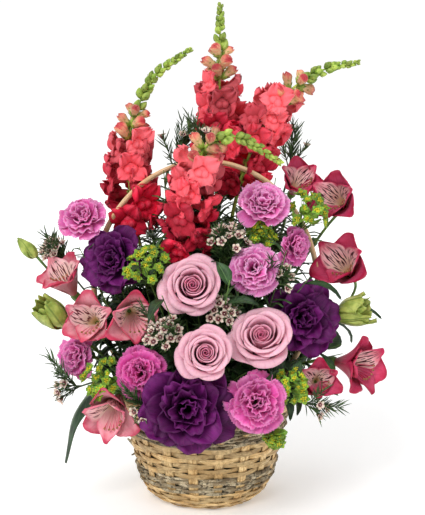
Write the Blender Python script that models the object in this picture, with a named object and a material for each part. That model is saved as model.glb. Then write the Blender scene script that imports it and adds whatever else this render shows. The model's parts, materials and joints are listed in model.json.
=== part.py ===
"""A flower basket: a woven bamboo basket with a hoop handle, a plastic liner and a floral foam
that holds cut roses, lisianthus, carnations, alstroemeria, snapdragons, fillers and leaves.

Metres, +Z up. The origin is the centre of the basket's base, and the front is towards -Y.
Every cut stem is one solid, swept from its foot in the foam to the face of its bloom.
"""

import math
from dataclasses import dataclass

import bmesh
import bpy
from mathutils import Vector

MM = 0.001

# Basket
BASKET_HEIGHT = 118 * MM
RIM_RADIUS = 92.7 * MM
BASE_RADIUS = 46.5 * MM
BASE_THICKNESS = 4 * MM
WALL_THICKNESS = 3.4 * MM
RIM_BAND_DEPTH = 14 * MM
RIM_BAND_THICKNESS = 3 * MM
INNER_BAND_SLOPE = 2.6 * MM
ROUND_SIDES = 32
GAP = 0.3 * MM

# Handle: an oval bamboo rod, bent to a hoop that bulges out above the rim
HANDLE_TOP = 362 * MM
HANDLE_HALF_WIDTH = 118 * MM
HANDLE_WIDEST_AT = 225 * MM
HANDLE_HALF_THICKNESS = 2.2 * MM
HANDLE_HALF_BREADTH = 3.8 * MM
HANDLE_FOOT = 24 * MM
HANDLE_LEG_HEIGHTS = (HANDLE_FOOT, 54 * MM, 84 * MM)
HANDLE_CLASPED_HEIGHTS = (101 * MM, 119 * MM)
HANDLE_LEAVES_BAND_AT = 128 * MM
HANDLE_LEAN_OUT = 2 * MM
HANDLE_LEAVING = Vector((13.5, 0, 30)) * MM
HANDLE_BULGE_RISE = 45 * MM
HANDLE_BULGE_STEPS = 5
HANDLE_BOW_STEP = 10

# Liner and foam
LINER_THICKNESS = 1.5 * MM
LINER_HEIGHT = 104 * MM
LINER_INSET = 8.8 * MM
FOAM_TOP = 128 * MM
FOAM_TOP_RADIUS = 60 * MM
FOAM_SHOULDER = 16 * MM
HEART = Vector((0, 0, 92 * MM))
FOOT_SPREAD = 40 * MM
FOOT_RISE = 14 * MM
FOOT_CROWDING = 0.55
SOCKET_CLEARANCE = 0.35 * MM

# Stems: the curve's handles, as shares of the way from the foam's heart to the bloom
STEM_LEAVING = 0.5
STEM_ARRIVING = 0.3
STEM_STEPS = 7
BLOOM_SIDES = 8
SPRIG_SIDES = 6

# The outer face of the basket's wall, as (height, radius), from the base's edge to the rim
WALL_OUTLINE = (
    (0.0, BASE_RADIUS + GAP),
    (3 * MM, 58 * MM),
    (10 * MM, 66 * MM),
    (24 * MM, 73 * MM),
    (54 * MM, 80 * MM),
    (84 * MM, 86.5 * MM),
    (BASKET_HEIGHT, RIM_RADIUS),
)

# Side views of the heads, from the stem's end to the face, as (distance along the axis, radius),
# both in shares of the head's own radius
ROSE_HEAD = ((-1.15, 0.10), (-0.98, 0.24), (-0.70, 0.62), (-0.25, 0.93), (0.10, 1.0), (0.42, 0.80))
LISIANTHUS_HEAD = ((-0.90, 0.08), (-0.75, 0.26), (-0.48, 0.66), (-0.10, 1.0), (0.22, 0.82))
CARNATION_HEAD = ((-1.40, 0.10), (-1.25, 0.24), (-0.65, 0.27), (-0.35, 0.66), (0.0, 1.0), (0.32, 0.78))
ALSTROEMERIA_HEAD = ((-1.45, 0.08), (-1.20, 0.17), (-0.60, 0.40), (-0.05, 0.86), (0.18, 1.0))
CLOSED_BUD = ((-1.30, 0.20), (-1.0, 0.72), (0.0, 1.0), (1.1, 0.74), (2.1, 0.20))
OPENING_BUD = ((-1.30, 0.20), (-0.9, 0.66), (0.0, 1.0), (1.0, 0.96), (1.8, 0.60))
SPRIG_HEAD = ((-2.8, 0.12), (-2.1, 0.62), (-0.8, 1.0), (0.5, 0.62))

# Side views of spikes and leaves, as (share of the way, share of the radius)
SPIKE_BLOOM = ((0.0, 0.12), (0.12, 0.8), (0.4, 1.0), (0.75, 0.9), (1.0, 0.5))
SPIKE_BUDS = ((0.5, 0.34), (1.0, 0.10))
LEAF_BLADE = ((0.42, 0.16), (0.55, 0.72), (0.68, 1.0), (0.84, 0.74), (1.0, 0.10))
LEAF_HALF_THICKNESS = 0.8 * MM


@dataclass(frozen=True)
class Finish:
    """A surface: its colour, its roughness and whether it is metal."""

    name: str
    colour: tuple
    roughness: float
    metallic: float = 0.0


@dataclass(frozen=True)
class Cut:
    """One cut stem. Places are in millimetres: right, away from the front, and up."""

    name: str
    place: tuple
    faces: tuple  # degrees: turned right of straight ahead, tilted above level
    radius: float
    arch: float = 0.0  # how far the stem bows up before it reaches its bloom
    swing: tuple = (0.0, 0.0, 0.0)  # how far its bend is moved aside, to pass its neighbours
    opens: tuple = (0.55, 0.83)  # on a spike, the shares of its length between which it is in bloom


SPLINT = Finish("bamboo_splint", (0.62, 0.42, 0.20), 0.55)
BARK = Finish("willow_bark", (0.33, 0.26, 0.19), 0.8)
PLASTIC = Finish("liner_plastic", (0.05, 0.12, 0.06), 0.4)
FOAM = Finish("wet_floral_foam", (0.06, 0.20, 0.08), 0.9)
ROSE = Finish("rose_petal", (0.80, 0.47, 0.60), 0.6)
LISIANTHUS = Finish("lisianthus_petal", (0.16, 0.02, 0.25), 0.6)
BUD_GREEN = Finish("bud_green", (0.45, 0.55, 0.16), 0.5)
CARNATION = Finish("carnation_petal", (0.62, 0.18, 0.58), 0.6)
ALSTROEMERIA = Finish("alstroemeria_petal", (0.72, 0.13, 0.24), 0.5)
SNAPDRAGON = Finish("snapdragon_petal", (0.80, 0.06, 0.11), 0.55)
WAXFLOWER = Finish("waxflower", (0.82, 0.66, 0.62), 0.45)
BUPLEURUM = Finish("bupleurum", (0.42, 0.52, 0.06), 0.5)
DARK_LEAF = Finish("dark_leaf", (0.03, 0.11, 0.04), 0.4)

ROSES = (
    Cut("rose_upper", (-13, -80, 249), (0, 26), 30, 0, (16, 0, 0)),
    Cut("rose_right", (56, -98, 201), (-5, 42), 31),
    Cut("rose_lower", (0, -128, 193), (6, 24), 26),
)
LISIANTHUSES = (
    Cut("lisianthus_left", (-97, -44, 269), (-30, 18), 29, 0, (0, -28, 0)),
    Cut("lisianthus_right", (102, -52, 208), (18, 20), 32),
    Cut("lisianthus_front", (-18, -130, 136), (4, 12), 36, arch=24),
)
CLOSED_BUDS = (Cut("lisianthus_bud_closed", (-185, 0, 268), (-80, 45), 8, 0, (0, 14, -20)),)
OPENING_BUDS = (
    Cut("lisianthus_bud_left", (-157, -34, 207), (-60, 42), 15, 0, (0, -18, 0)),
    Cut("lisianthus_bud_right", (153, -24, 208), (75, 22), 16),
)
CARNATIONS = (
    Cut("carnation_top_left", (-128, -12, 308), (-20, 50), 24),
    Cut("carnation_top_right", (59, -42, 328), (8, 45), 24),
    Cut("carnation_centre", (48, -68, 265), (-5, 28), 24),
    Cut("carnation_right", (94, -34, 279), (45, 8), 19, 0, (10, -35, -20)),
    Cut("carnation_low_left", (-136, -50, 166), (-35, 10), 20, 0, (0, -52, 0)),
    Cut("carnation_low_centre", (-65, -106, 166), (-10, 15), 24),
    Cut("carnation_low_right", (51, -126, 142), (5, 18), 27, arch=20),
)
ALSTROEMERIAS = (
    Cut("alstroemeria_top_right", (134, -6, 324), (-25, 25), 23, 0, (-60, -40, 0)),
    Cut("alstroemeria_top_back", (99, 24, 338), (20, 40), 20, 0, (10, -62, 0)),
    Cut("alstroemeria_right", (142, -10, 255), (-28, 32), 25),
    Cut("alstroemeria_low_right", (162, -34, 152), (50, 4), 25),
    Cut("alstroemeria_low_inner", (115, -74, 148), (5, 20), 18, arch=10),
    Cut("alstroemeria_left", (-150, -10, 243), (-42, 55), 22, 0, (0, -40, 0)),
    Cut("alstroemeria_mid_left", (-119, -60, 207), (-15, 18), 23, 0, (0, -8, 0)),
    Cut("alstroemeria_inner_left", (-73, -70, 213), (12, 0), 24),
    Cut("alstroemeria_low_left", (-97, -92, 118), (-15, -16), 25, 34, (10, -6, 0)),
)
SNAPDRAGONS = (
    Cut("snapdragon_left", (-14, 34, 476), (80, 18), 19, 0, (-7, -19, -20), (0.42, 0.72)),
    Cut("snapdragon_centre", (15, 52, 522), (0, 88), 21, 0, (0, 0, 0), (0.60, 0.86)),
    Cut("snapdragon_right", (160, 26, 462), (88, 20), 19, 0, (-16, -4, 34), (0.46, 0.80)),
    Cut("snapdragon_front", (76, -52, 368), (88, -35), 20, 0, (-41, -2, 48), (0.34, 0.70)),
)
WAXFLOWERS = (
    Cut("waxflower_centre", (22, -54, 296), (5, 70), 12),
    Cut("waxflower_inner", (17, -84, 226), (10, 40), 9),
    Cut("waxflower_left", (-42, -104, 208), (-20, 40), 11),
    Cut("waxflower_top", (-1, 14, 390), (0, 80), 8),
    Cut("waxflower_right", (80, -66, 254), (35, 25), 8, 0, (6, -16, 0)),
    Cut("waxflower_low_right", (118, -98, 127), (60, -5), 6, arch=12),
    Cut("waxflower_low_left", (-150, -70, 136), (-70, -5), 7, 12, (-3, -9, 0)),
    Cut("waxflower_low_front", (-66, -118, 122), (-30, -10), 6, arch=36),
    Cut("waxflower_far_left", (-164, 14, 268), (-70, 55), 8),
    Cut("waxflower_back_left", (-34, 42, 380), (-10, 80), 12, 0, (0, -10, 0)),
    Cut("waxflower_back_right", (97, 44, 374), (40, 70), 12),
)
BUPLEURUMS = (
    Cut("bupleurum_left", (-58, -68, 268), (-10, 45), 16, 0, (20, 0, 0)),
    Cut("bupleurum_right", (105, -28, 315), (30, 50), 11, 0, (0, -30, 10)),
    Cut("bupleurum_centre", (56, -38, 293), (10, 60), 8, 0, (-16, 4, 0)),
    Cut("bupleurum_low_left", (-106, -84, 152), (-50, 20), 15, 0, (6, -6, 6)),
    Cut("bupleurum_low_right", (88, -98, 148), (40, 10), 13, arch=8),
    Cut("bupleurum_trailing", (70, -110, 98), (30, -70), 5, arch=40),
)
LEAVES = (
    Cut("leaf_low_left", (-148, -48, 50), (-40, -70), 10, 66, (0, -10, 0)),
    Cut("leaf_back_left", (-100, 80, 205), (-130, 40), 22),
    Cut("leaf_back_right", (106, 80, 206), (130, 40), 22),
    Cut("leaf_back_high", (-10, 84, 300), (180, 60), 22),
    Cut("leaf_back_low", (0, 116, 170), (180, 20), 24),
    Cut("leaf_back_low_left", (-90, 96, 150), (-140, 10), 22),
    Cut("leaf_back_low_right", (90, 96, 150), (140, 10), 22),
)


def clear_scene():
    """Removes every object, so that only the basket is left."""
    for thing in list(bpy.data.objects):
        bpy.data.objects.remove(thing, do_unlink=True)


def surface(finish):
    """The material for a finish."""
    made = bpy.data.materials.get(finish.name)
    if made:
        return made
    made = bpy.data.materials.new(finish.name)
    made.use_nodes = True
    shader = made.node_tree.nodes["Principled BSDF"]
    shader.inputs["Base Color"].default_value = (*finish.colour, 1.0)
    shader.inputs["Roughness"].default_value = finish.roughness
    shader.inputs["Metallic"].default_value = finish.metallic
    return made


def add_object(name, bm, finish, smooth_below=40.0):
    """Turns a bmesh into a named object with its material."""
    bmesh.ops.recalc_face_normals(bm, faces=bm.faces)
    mesh = bpy.data.meshes.new(name)
    bm.to_mesh(mesh)
    bm.free()
    mesh.shade_smooth()
    mesh.set_sharp_from_angle(angle=math.radians(smooth_below))
    mesh.materials.append(surface(finish))
    thing = bpy.data.objects.new(name, mesh)
    bpy.context.scene.collection.objects.link(thing)
    return thing


def direction(faces):
    """A unit vector, from degrees right of straight ahead and degrees above level."""
    turn, tilt = (math.radians(angle) for angle in faces)
    return Vector((math.sin(turn) * math.cos(tilt), -math.cos(turn) * math.cos(tilt), math.sin(tilt)))


def stepped(table, at):
    """The value of a (place, value) table at a place, on straight runs between its rows."""
    for (low, first), (high, second) in zip(table, table[1:]):
        if at <= high:
            return first + (second - first) * max(0.0, at - low) / (high - low)
    return table[-1][1]


def turned(name, outline, finish, sides=ROUND_SIDES):
    """A body of revolution about Z from a closed outline of (radius, height) points.

    A point on the axis closes the body there.
    """
    bm = bmesh.new()
    corners = [bm.verts.new((radius, 0.0, height)) for radius, height in outline]
    edges = [bm.edges.new(pair) for pair in zip(corners, corners[1:])]
    if outline[0][0] > 0:
        edges.append(bm.edges.new((corners[-1], corners[0])))
    bmesh.ops.spin(
        bm, geom=corners + edges, cent=(0, 0, 0), axis=(0, 0, 1), angle=2 * math.pi, steps=sides
    )
    bmesh.ops.remove_doubles(bm, verts=bm.verts, dist=0.01 * MM)
    return add_object(name, bm, finish)


def bezier(start, leaving, arriving, end, share):
    """A point on a cubic curve."""
    rest = 1.0 - share
    return (
        start * rest**3
        + leaving * 3 * rest**2 * share
        + arriving * 3 * rest * share**2
        + end * share**3
    )


def sweep(name, path, radii, finish, sides, flat=None, breadth_axis=None):
    """A closed tube along a path, with a ring of corners round each point and a flat cap at each end.

    With flat, that is the half-thickness of every ring, and radii are its half-breadths.
    """
    bm = bmesh.new()
    rings = []
    side = None
    for index, (point, radius) in enumerate(zip(path, radii)):
        before, after = path[max(0, index - 1)], path[min(len(path) - 1, index + 1)]
        along = (after - before).normalized()
        if side is None:
            side = breadth_axis or along.cross(Vector((0, 0, 1)))
            if side.length < 0.2:
                side = Vector((1, 0, 0))
        side = (side - along * side.dot(along)).normalized()
        up = side.cross(along)
        thickness = min(flat, radius) if flat else radius
        ring = []
        for corner in range(sides):
            angle = 2 * math.pi * corner / sides
            offset = side * (radius * math.cos(angle)) + up * (thickness * math.sin(angle))
            ring.append(bm.verts.new(point + offset))
        rings.append(ring)
    for first, second in zip(rings, rings[1:]):
        for corner in range(sides):
            following = (corner + 1) % sides
            bm.faces.new((first[corner], first[following], second[following], second[corner]))
    bm.faces.new(reversed(rings[0]))
    bm.faces.new(rings[-1])
    return add_object(name, bm, finish)


def stem_curve(end, facing, arch, swing):
    """The four control points of a stem, from its foot near the foam's heart to its end."""
    reach = (end - HEART).length
    arriving = end - facing * (STEM_ARRIVING * reach) + Vector((0, 0, arch * MM)) + Vector(swing) * MM
    heading = arriving - HEART
    level = Vector((heading.x, heading.y, 0))
    lean = math.atan2(level.length, heading.z) / (math.pi / 2)
    foot = HEART + level.normalized() * (FOOT_SPREAD * lean**FOOT_CROWDING)
    foot.z += FOOT_RISE * heading.normalized().z
    leaving = foot + (arriving - foot) * STEM_LEAVING
    return foot, leaving, arriving, end


def socket_part(path, radii):
    """The stretch of a stem that is in the foam, a little fatter and longer, as path and radii."""
    inside = [p for p in path if p.z < FOAM_TOP and math.hypot(p.x, p.y) < FOAM_TOP_RADIUS + FOAM_SHOULDER]
    count = min(len(path), len(inside) + 2)
    start = path[0] - (path[1] - path[0]).normalized() * SOCKET_CLEARANCE
    return [start, *path[1:count]], [radius + SOCKET_CLEARANCE for radius in radii[:count]]


def bloom(cut, head, finish, stem_radius):
    """A cut stem with a turned head on it. Returns its path and radii."""
    facing = direction(cut.faces)
    centre = Vector(cut.place) * MM
    radius = cut.radius * MM
    neck = centre + facing * (head[0][0] * radius)
    curve = stem_curve(neck, facing, cut.arch, cut.swing)
    path = [bezier(*curve, step / STEM_STEPS) for step in range(STEM_STEPS)]
    radii = [stem_radius * (1 - 0.2 * (step / STEM_STEPS) ** 2) for step in range(STEM_STEPS)]
    path += [centre + facing * (along * radius) for along, _ in head]
    radii += [share * radius for _, share in head]
    sweep(cut.name, path, radii, finish, BLOOM_SIDES)
    return path, radii


def spike_table(opens):
    """The side view of a flower spike that is in bloom between two shares of its length."""
    first, last = opens
    bloomed = [(first + (last - first) * share, part) for share, part in SPIKE_BLOOM]
    return bloomed + [(last + (1 - last) * share, part) for share, part in SPIKE_BUDS]


def shoot(cut, table, finish, stem_radius, sides, steps, flat=None):
    """A cut stem that widens along its own curve: a flower spike, a sprig or a leaf."""
    facing = direction(cut.faces)
    curve = stem_curve(Vector(cut.place) * MM, facing, cut.arch, cut.swing)
    table = table or spike_table(cut.opens)
    first = table[0][0]
    shares = [first * step / steps for step in range(steps)] + [share for share, _ in table]
    path = [bezier(*curve, share) for share in shares]
    radii = [stem_radius * (1 - 0.2 * share**2) for share in shares[:steps]]
    radii += [max(part * cut.radius * MM, stem_radius) for _, part in table]
    sweep(cut.name, path, radii, finish, sides, flat)
    return path, radii


def build_basket():
    """The woven wall and base, and the two splint hoops that clasp the rim."""
    outer = [(radius, height) for height, radius in WALL_OUTLINE]
    inner = [(max(radius - WALL_THICKNESS, BASE_RADIUS + GAP), height) for radius, height in outer[1:]]
    inner[0] = (inner[0][0], BASE_THICKNESS + GAP)
    turned("basket_wall", outer + inner[::-1] + [(BASE_RADIUS + GAP, BASE_THICKNESS)], BARK)
    turned(
        "basket_base",
        [(0, 0), (BASE_RADIUS, 0), (BASE_RADIUS, BASE_THICKNESS), (0, BASE_THICKNESS)],
        SPLINT,
    )
    low, high = BASKET_HEIGHT - RIM_BAND_DEPTH, BASKET_HEIGHT
    outside = RIM_RADIUS + GAP
    turned(
        "rim_band_outer",
        [
            (outside, low),
            (outside + RIM_BAND_THICKNESS, low),
            (outside + RIM_BAND_THICKNESS, high),
            (outside, high),
        ],
        SPLINT,
    )
    clasped = RIM_RADIUS - WALL_THICKNESS - GAP
    low_clasped = clasped - INNER_BAND_SLOPE
    turned(
        "rim_band_inner",
        [
            (low_clasped - RIM_BAND_THICKNESS, low),
            (low_clasped, low),
            (clasped, high),
            (clasped - RIM_BAND_THICKNESS, high),
        ],
        SPLINT,
    )


def wall_inside(height):
    """The radius of the wall's inner face at a height."""
    return stepped(WALL_OUTLINE, height) - WALL_THICKNESS


def build_handle():
    """The hoop: two legs inside the wall, a bulge above the rim and a half-ellipse over the top."""
    half = [Vector((wall_inside(z) - HANDLE_HALF_THICKNESS - GAP, 0, z)) for z in HANDLE_LEG_HEIGHTS]
    within_band = RIM_RADIUS - WALL_THICKNESS - RIM_BAND_THICKNESS - INNER_BAND_SLOPE - GAP
    within_band -= HANDLE_HALF_THICKNESS + GAP
    half += [Vector((within_band, 0, z)) for z in HANDLE_CLASPED_HEIGHTS]
    start = Vector((within_band + HANDLE_LEAN_OUT, 0, HANDLE_LEAVES_BAND_AT))
    widest = Vector((HANDLE_HALF_WIDTH, 0, HANDLE_WIDEST_AT))
    outwards = start + HANDLE_LEAVING
    below = widest - Vector((0, 0, HANDLE_BULGE_RISE))
    steps = HANDLE_BULGE_STEPS
    half += [bezier(start, outwards, below, widest, step / steps) for step in range(steps)]
    bow = HANDLE_TOP - HANDLE_WIDEST_AT
    half += [
        Vector((HANDLE_HALF_WIDTH * math.cos(angle), 0, HANDLE_WIDEST_AT + bow * math.sin(angle)))
        for angle in (math.radians(step) for step in range(0, 90, HANDLE_BOW_STEP))
    ]
    path = half + [Vector((0, 0, HANDLE_TOP))] + [Vector((-p.x, 0, p.z)) for p in reversed(half)]
    breadths = [HANDLE_HALF_BREADTH] * len(path)
    sweep(
        "handle_hoop", path, breadths, SPLINT, BLOOM_SIDES, HANDLE_HALF_THICKNESS, Vector((0, 1, 0))
    )


def build_liner():
    """The thin plastic pot that keeps water off the wicker. Returns its inner radii by height."""
    heights = (10 * MM, 24 * MM, 54 * MM, 84 * MM, LINER_HEIGHT)
    floor = BASE_THICKNESS + GAP
    outer = [(stepped(WALL_OUTLINE, z) - WALL_THICKNESS - LINER_INSET, z) for z in heights]
    outer.insert(0, (outer[0][0] - 10 * MM, floor))
    inner = [(radius - LINER_THICKNESS, z) for radius, z in outer]
    inner[0] = (inner[0][0], floor + LINER_THICKNESS)
    turned("liner", [(0, floor), *outer, *inner[::-1], (0, floor + LINER_THICKNESS)], PLASTIC)
    return inner


def build_foam(liner_inside, sockets):
    """The floral foam, trimmed round to fit the liner, with a socket for every stem."""
    low = liner_inside[0][1] + GAP
    sides = [(radius - GAP - 0.5 * MM, max(z, low)) for radius, z in liner_inside]
    top = [(sides[-1][0], FOAM_TOP - FOAM_SHOULDER), (FOAM_TOP_RADIUS, FOAM_TOP), (0, FOAM_TOP)]
    foam = turned("floral_foam", [(0, low), *sides, *top], FOAM)
    bm = bmesh.new()
    for path, radii, sides_count in sockets:
        cutter = sweep("socket", *socket_part(path, radii), FOAM, sides_count)
        bm.from_mesh(cutter.data)
        bpy.data.objects.remove(cutter, do_unlink=True)
    cutters = add_object("foam_sockets", bm, FOAM)
    cutters.hide_render = True
    cutters.display_type = "WIRE"
    cut = foam.modifiers.new("sockets", "BOOLEAN")
    cut.operation = "DIFFERENCE"
    cut.object = cutters
    cut.use_self = True


def build_stems():
    """Every cut stem. Returns what each needs as a socket: its path, radii and number of sides."""
    made = []
    heads = (
        (ROSES, ROSE_HEAD, ROSE, 2.8 * MM),
        (LISIANTHUSES, LISIANTHUS_HEAD, LISIANTHUS, 2.2 * MM),
        (CLOSED_BUDS, CLOSED_BUD, BUD_GREEN, 1.5 * MM),
        (OPENING_BUDS, OPENING_BUD, BUD_GREEN, 1.8 * MM),
        (CARNATIONS, CARNATION_HEAD, CARNATION, 2.0 * MM),
        (ALSTROEMERIAS, ALSTROEMERIA_HEAD, ALSTROEMERIA, 1.8 * MM),
        (WAXFLOWERS, SPRIG_HEAD, WAXFLOWER, 1.2 * MM),
        (BUPLEURUMS, SPRIG_HEAD, BUPLEURUM, 1.4 * MM),
    )
    for cuts, head, finish, stem_radius in heads:
        made += [(*bloom(cut, head, finish, stem_radius), BLOOM_SIDES) for cut in cuts]
    shoots = (
        (SNAPDRAGONS, None, SNAPDRAGON, 2.6 * MM, BLOOM_SIDES, None),
        (LEAVES, LEAF_BLADE, DARK_LEAF, 1.4 * MM, SPRIG_SIDES, LEAF_HALF_THICKNESS),
    )
    for cuts, table, finish, stem_radius, sides, flat in shoots:
        made += [(*shoot(cut, table, finish, stem_radius, sides, STEM_STEPS, flat), sides) for cut in cuts]
    return made


def main():
    """Builds the whole arrangement."""
    clear_scene()
    build_basket()
    build_handle()
    liner_inside = build_liner()
    build_foam(liner_inside, build_stems())


main()
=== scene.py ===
"""A flower basket arrangement, dressed for show.

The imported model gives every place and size: the wall of the basket, and for each cut stem the line
it grows along and the head it carries. This script builds the finished surfaces on those: the weave,
the hoop handle, every petal, bud, needle and leaf, then a plain studio with a camera.
"""

import json
import logging
import math
import random
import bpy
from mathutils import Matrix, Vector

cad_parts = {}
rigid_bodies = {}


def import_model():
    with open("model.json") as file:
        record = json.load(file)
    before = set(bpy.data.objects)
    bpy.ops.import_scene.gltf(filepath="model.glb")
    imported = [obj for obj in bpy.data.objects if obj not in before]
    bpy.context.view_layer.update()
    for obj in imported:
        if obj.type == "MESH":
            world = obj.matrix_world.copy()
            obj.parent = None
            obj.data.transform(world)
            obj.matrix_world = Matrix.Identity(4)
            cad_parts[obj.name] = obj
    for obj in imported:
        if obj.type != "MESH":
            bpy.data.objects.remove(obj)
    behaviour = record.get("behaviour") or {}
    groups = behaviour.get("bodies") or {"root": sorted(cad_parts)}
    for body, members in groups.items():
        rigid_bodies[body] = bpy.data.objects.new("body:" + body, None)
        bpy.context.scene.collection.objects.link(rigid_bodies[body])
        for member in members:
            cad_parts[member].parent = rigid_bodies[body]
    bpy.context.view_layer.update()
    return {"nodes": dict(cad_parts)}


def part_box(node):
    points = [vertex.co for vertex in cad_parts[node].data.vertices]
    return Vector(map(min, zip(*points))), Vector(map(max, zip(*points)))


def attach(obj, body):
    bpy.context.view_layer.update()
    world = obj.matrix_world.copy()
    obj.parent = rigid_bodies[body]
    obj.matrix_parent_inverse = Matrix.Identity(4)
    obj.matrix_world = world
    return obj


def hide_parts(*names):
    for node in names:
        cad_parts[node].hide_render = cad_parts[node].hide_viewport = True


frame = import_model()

import zlib
from dataclasses import dataclass, field
from enum import Enum
from typing import ClassVar

import bpy
import numpy as np
from mathutils import Vector

LOG = logging.getLogger("flower_basket")
BODY = "root"
MM = 0.001
HEART = np.array((0.0, 0.0, 0.092))  # in the foam: the ring of a stem that is nearest to it is its foot
STEM_RINGS = 7  # rings of a cut stem below its bloom
UP = np.array((0.0, 0.0, 1.0))
GOLDEN_TURN = math.radians(137.508)

Grid = np.ndarray
Colour = tuple[float, float, float]


# --------------------------------------------------------------------------------------------------
# Small helpers


def paint(red: int, green: int, blue: int) -> Colour:
    """A display colour (0 to 255 each) as the linear colour that shaders use."""
    shares = (channel / 255 for channel in (red, green, blue))
    return tuple(c / 12.92 if c <= 0.04045 else ((c + 0.055) / 1.055) ** 2.4 for c in shares)


def unit(vector: np.ndarray) -> np.ndarray:
    """The vector at a length of one."""
    return vector / (np.linalg.norm(vector, axis=-1, keepdims=True) + 1e-12)


def chance(name: str) -> random.Random:
    """A fixed source of variety for a piece, from its own name."""
    return random.Random(zlib.crc32(name.encode()))


def smooth_line(knots: Grid, steps: int) -> Grid:
    """A smooth line through knots.

    Args:
        knots: the points or values that the line passes through, one a row.
        steps: how many points to make between each knot and the next.

    Returns:
        The points of a Catmull-Rom curve, with both end knots in it.
    """
    table = np.asarray(knots, float)
    table = np.concatenate((table[:1] * 2 - table[1:2], table, table[-1:] * 2 - table[-2:-1]))
    made = []
    for a, b, c, d in zip(table, table[1:], table[2:], table[3:]):
        for step in range(steps):
            t = step / steps
            made.append(
                0.5 * (2 * b + (c - a) * t + (2 * a - 5 * b + 4 * c - d) * t**2
                       + (3 * b - a - 3 * c + d) * t**3)
            )
    made.append(table[-2])
    return np.array(made)


def run_lengths(line: Grid) -> np.ndarray:
    """The distance along a line from its start to each of its points."""
    return np.concatenate(((0,), np.cumsum(np.linalg.norm(np.diff(line, axis=0), axis=1))))


def spoke(angle: float) -> np.ndarray:
    """The level direction at an angle about the upright."""
    return np.array((math.cos(angle), math.sin(angle), 0.0))


@dataclass(frozen=True)
class Bearing:
    """Where a head stands: its centre and its right, up and facing directions."""

    centre: np.ndarray
    right: np.ndarray
    up: np.ndarray
    facing: np.ndarray

    @classmethod
    def towards(cls, centre: np.ndarray, facing: np.ndarray, hint: np.ndarray = UP) -> "Bearing":
        """A bearing that faces a way, with its up as near the hint as it can be."""
        facing = unit(np.asarray(facing, float))
        if abs(float(facing @ unit(hint))) > 0.97:
            hint = np.array((0.0, 1.0, 0.2))
        right = unit(np.cross(hint, facing))
        return cls(np.asarray(centre, float), right, np.cross(facing, right), facing)

    def place(self, points: Grid) -> Grid:
        """Moves points from the head's own frame, with Z ahead, to the arrangement's."""
        return (
            self.centre
            + points[..., 0:1] * self.right
            + points[..., 1:2] * self.up
            + points[..., 2:3] * self.facing
        )


@dataclass
class CutStem:
    """A cut stem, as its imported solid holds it: the line of its rings, their radii and broad sides."""

    name: str
    line: Grid
    radii: np.ndarray
    broad: Grid

    @classmethod
    def read(cls, name: str, sides: int = 8, near: np.ndarray = HEART) -> "CutStem":
        """Reads a swept solid ring by ring, from its foot in the foam to its far end.

        Args:
            name: the node.
            sides: how many corners each of its rings has.
            near: a place that is nearer to its first ring than to any other.

        Returns:
            The stem, with one point and one radius for each ring.
        """
        mesh = frame["nodes"][name].data
        order: dict = {}
        merged = [
            order.setdefault(tuple(round(c, 6) for c in corner.co), len(order))
            for corner in mesh.vertices
        ]
        points = np.array(list(order))
        links: list[set] = [set() for _ in points]
        for face in mesh.polygons:
            corners = [merged[v] for v in face.vertices]
            for first, second in zip(corners, corners[1:] + corners[:1]):
                links[first].add(second)
                links[second].add(first)
        level = set(np.argsort(np.linalg.norm(points - near, axis=1))[:sides].tolist())
        seen: set = set()
        rings = []
        while level:
            rings.append(points[sorted(level)])
            seen |= level
            level = set().union(*(links[v] for v in level)) - seen
        line = np.array([ring.mean(axis=0) for ring in rings])
        reach = [np.linalg.norm(ring - middle, axis=1) for ring, middle in zip(rings, line)]
        broad = [ring[np.argmax(far)] - middle for ring, far, middle in zip(rings, reach, line)]
        return cls(name, line, np.array([far.max() for far in reach]), unit(np.array(broad)))

    @property
    def facing(self) -> np.ndarray:
        """The way the far end faces."""
        return unit(self.line[-1] - self.line[-2])

    def head(self, widest_at: float) -> tuple[Bearing, float]:
        """The head's bearing and radius.

        Args:
            widest_at: how far the widest ring is ahead of the head's centre, in radii.

        Returns:
            The bearing at the head's centre, and the head's radius.
        """
        widest = STEM_RINGS + int(np.argmax(self.radii[STEM_RINGS:]))
        radius = float(self.radii[widest])
        return Bearing.towards(self.line[widest] - self.facing * widest_at * radius, self.facing), radius

    def stalk(self, rings: int, steps: int = 4) -> tuple[Grid, np.ndarray]:
        """The smooth line and radii of the first rings."""
        return smooth_line(self.line[:rings], steps), smooth_line(self.radii[:rings, None], steps)[:, 0]


# --------------------------------------------------------------------------------------------------
# Meshes


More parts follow.
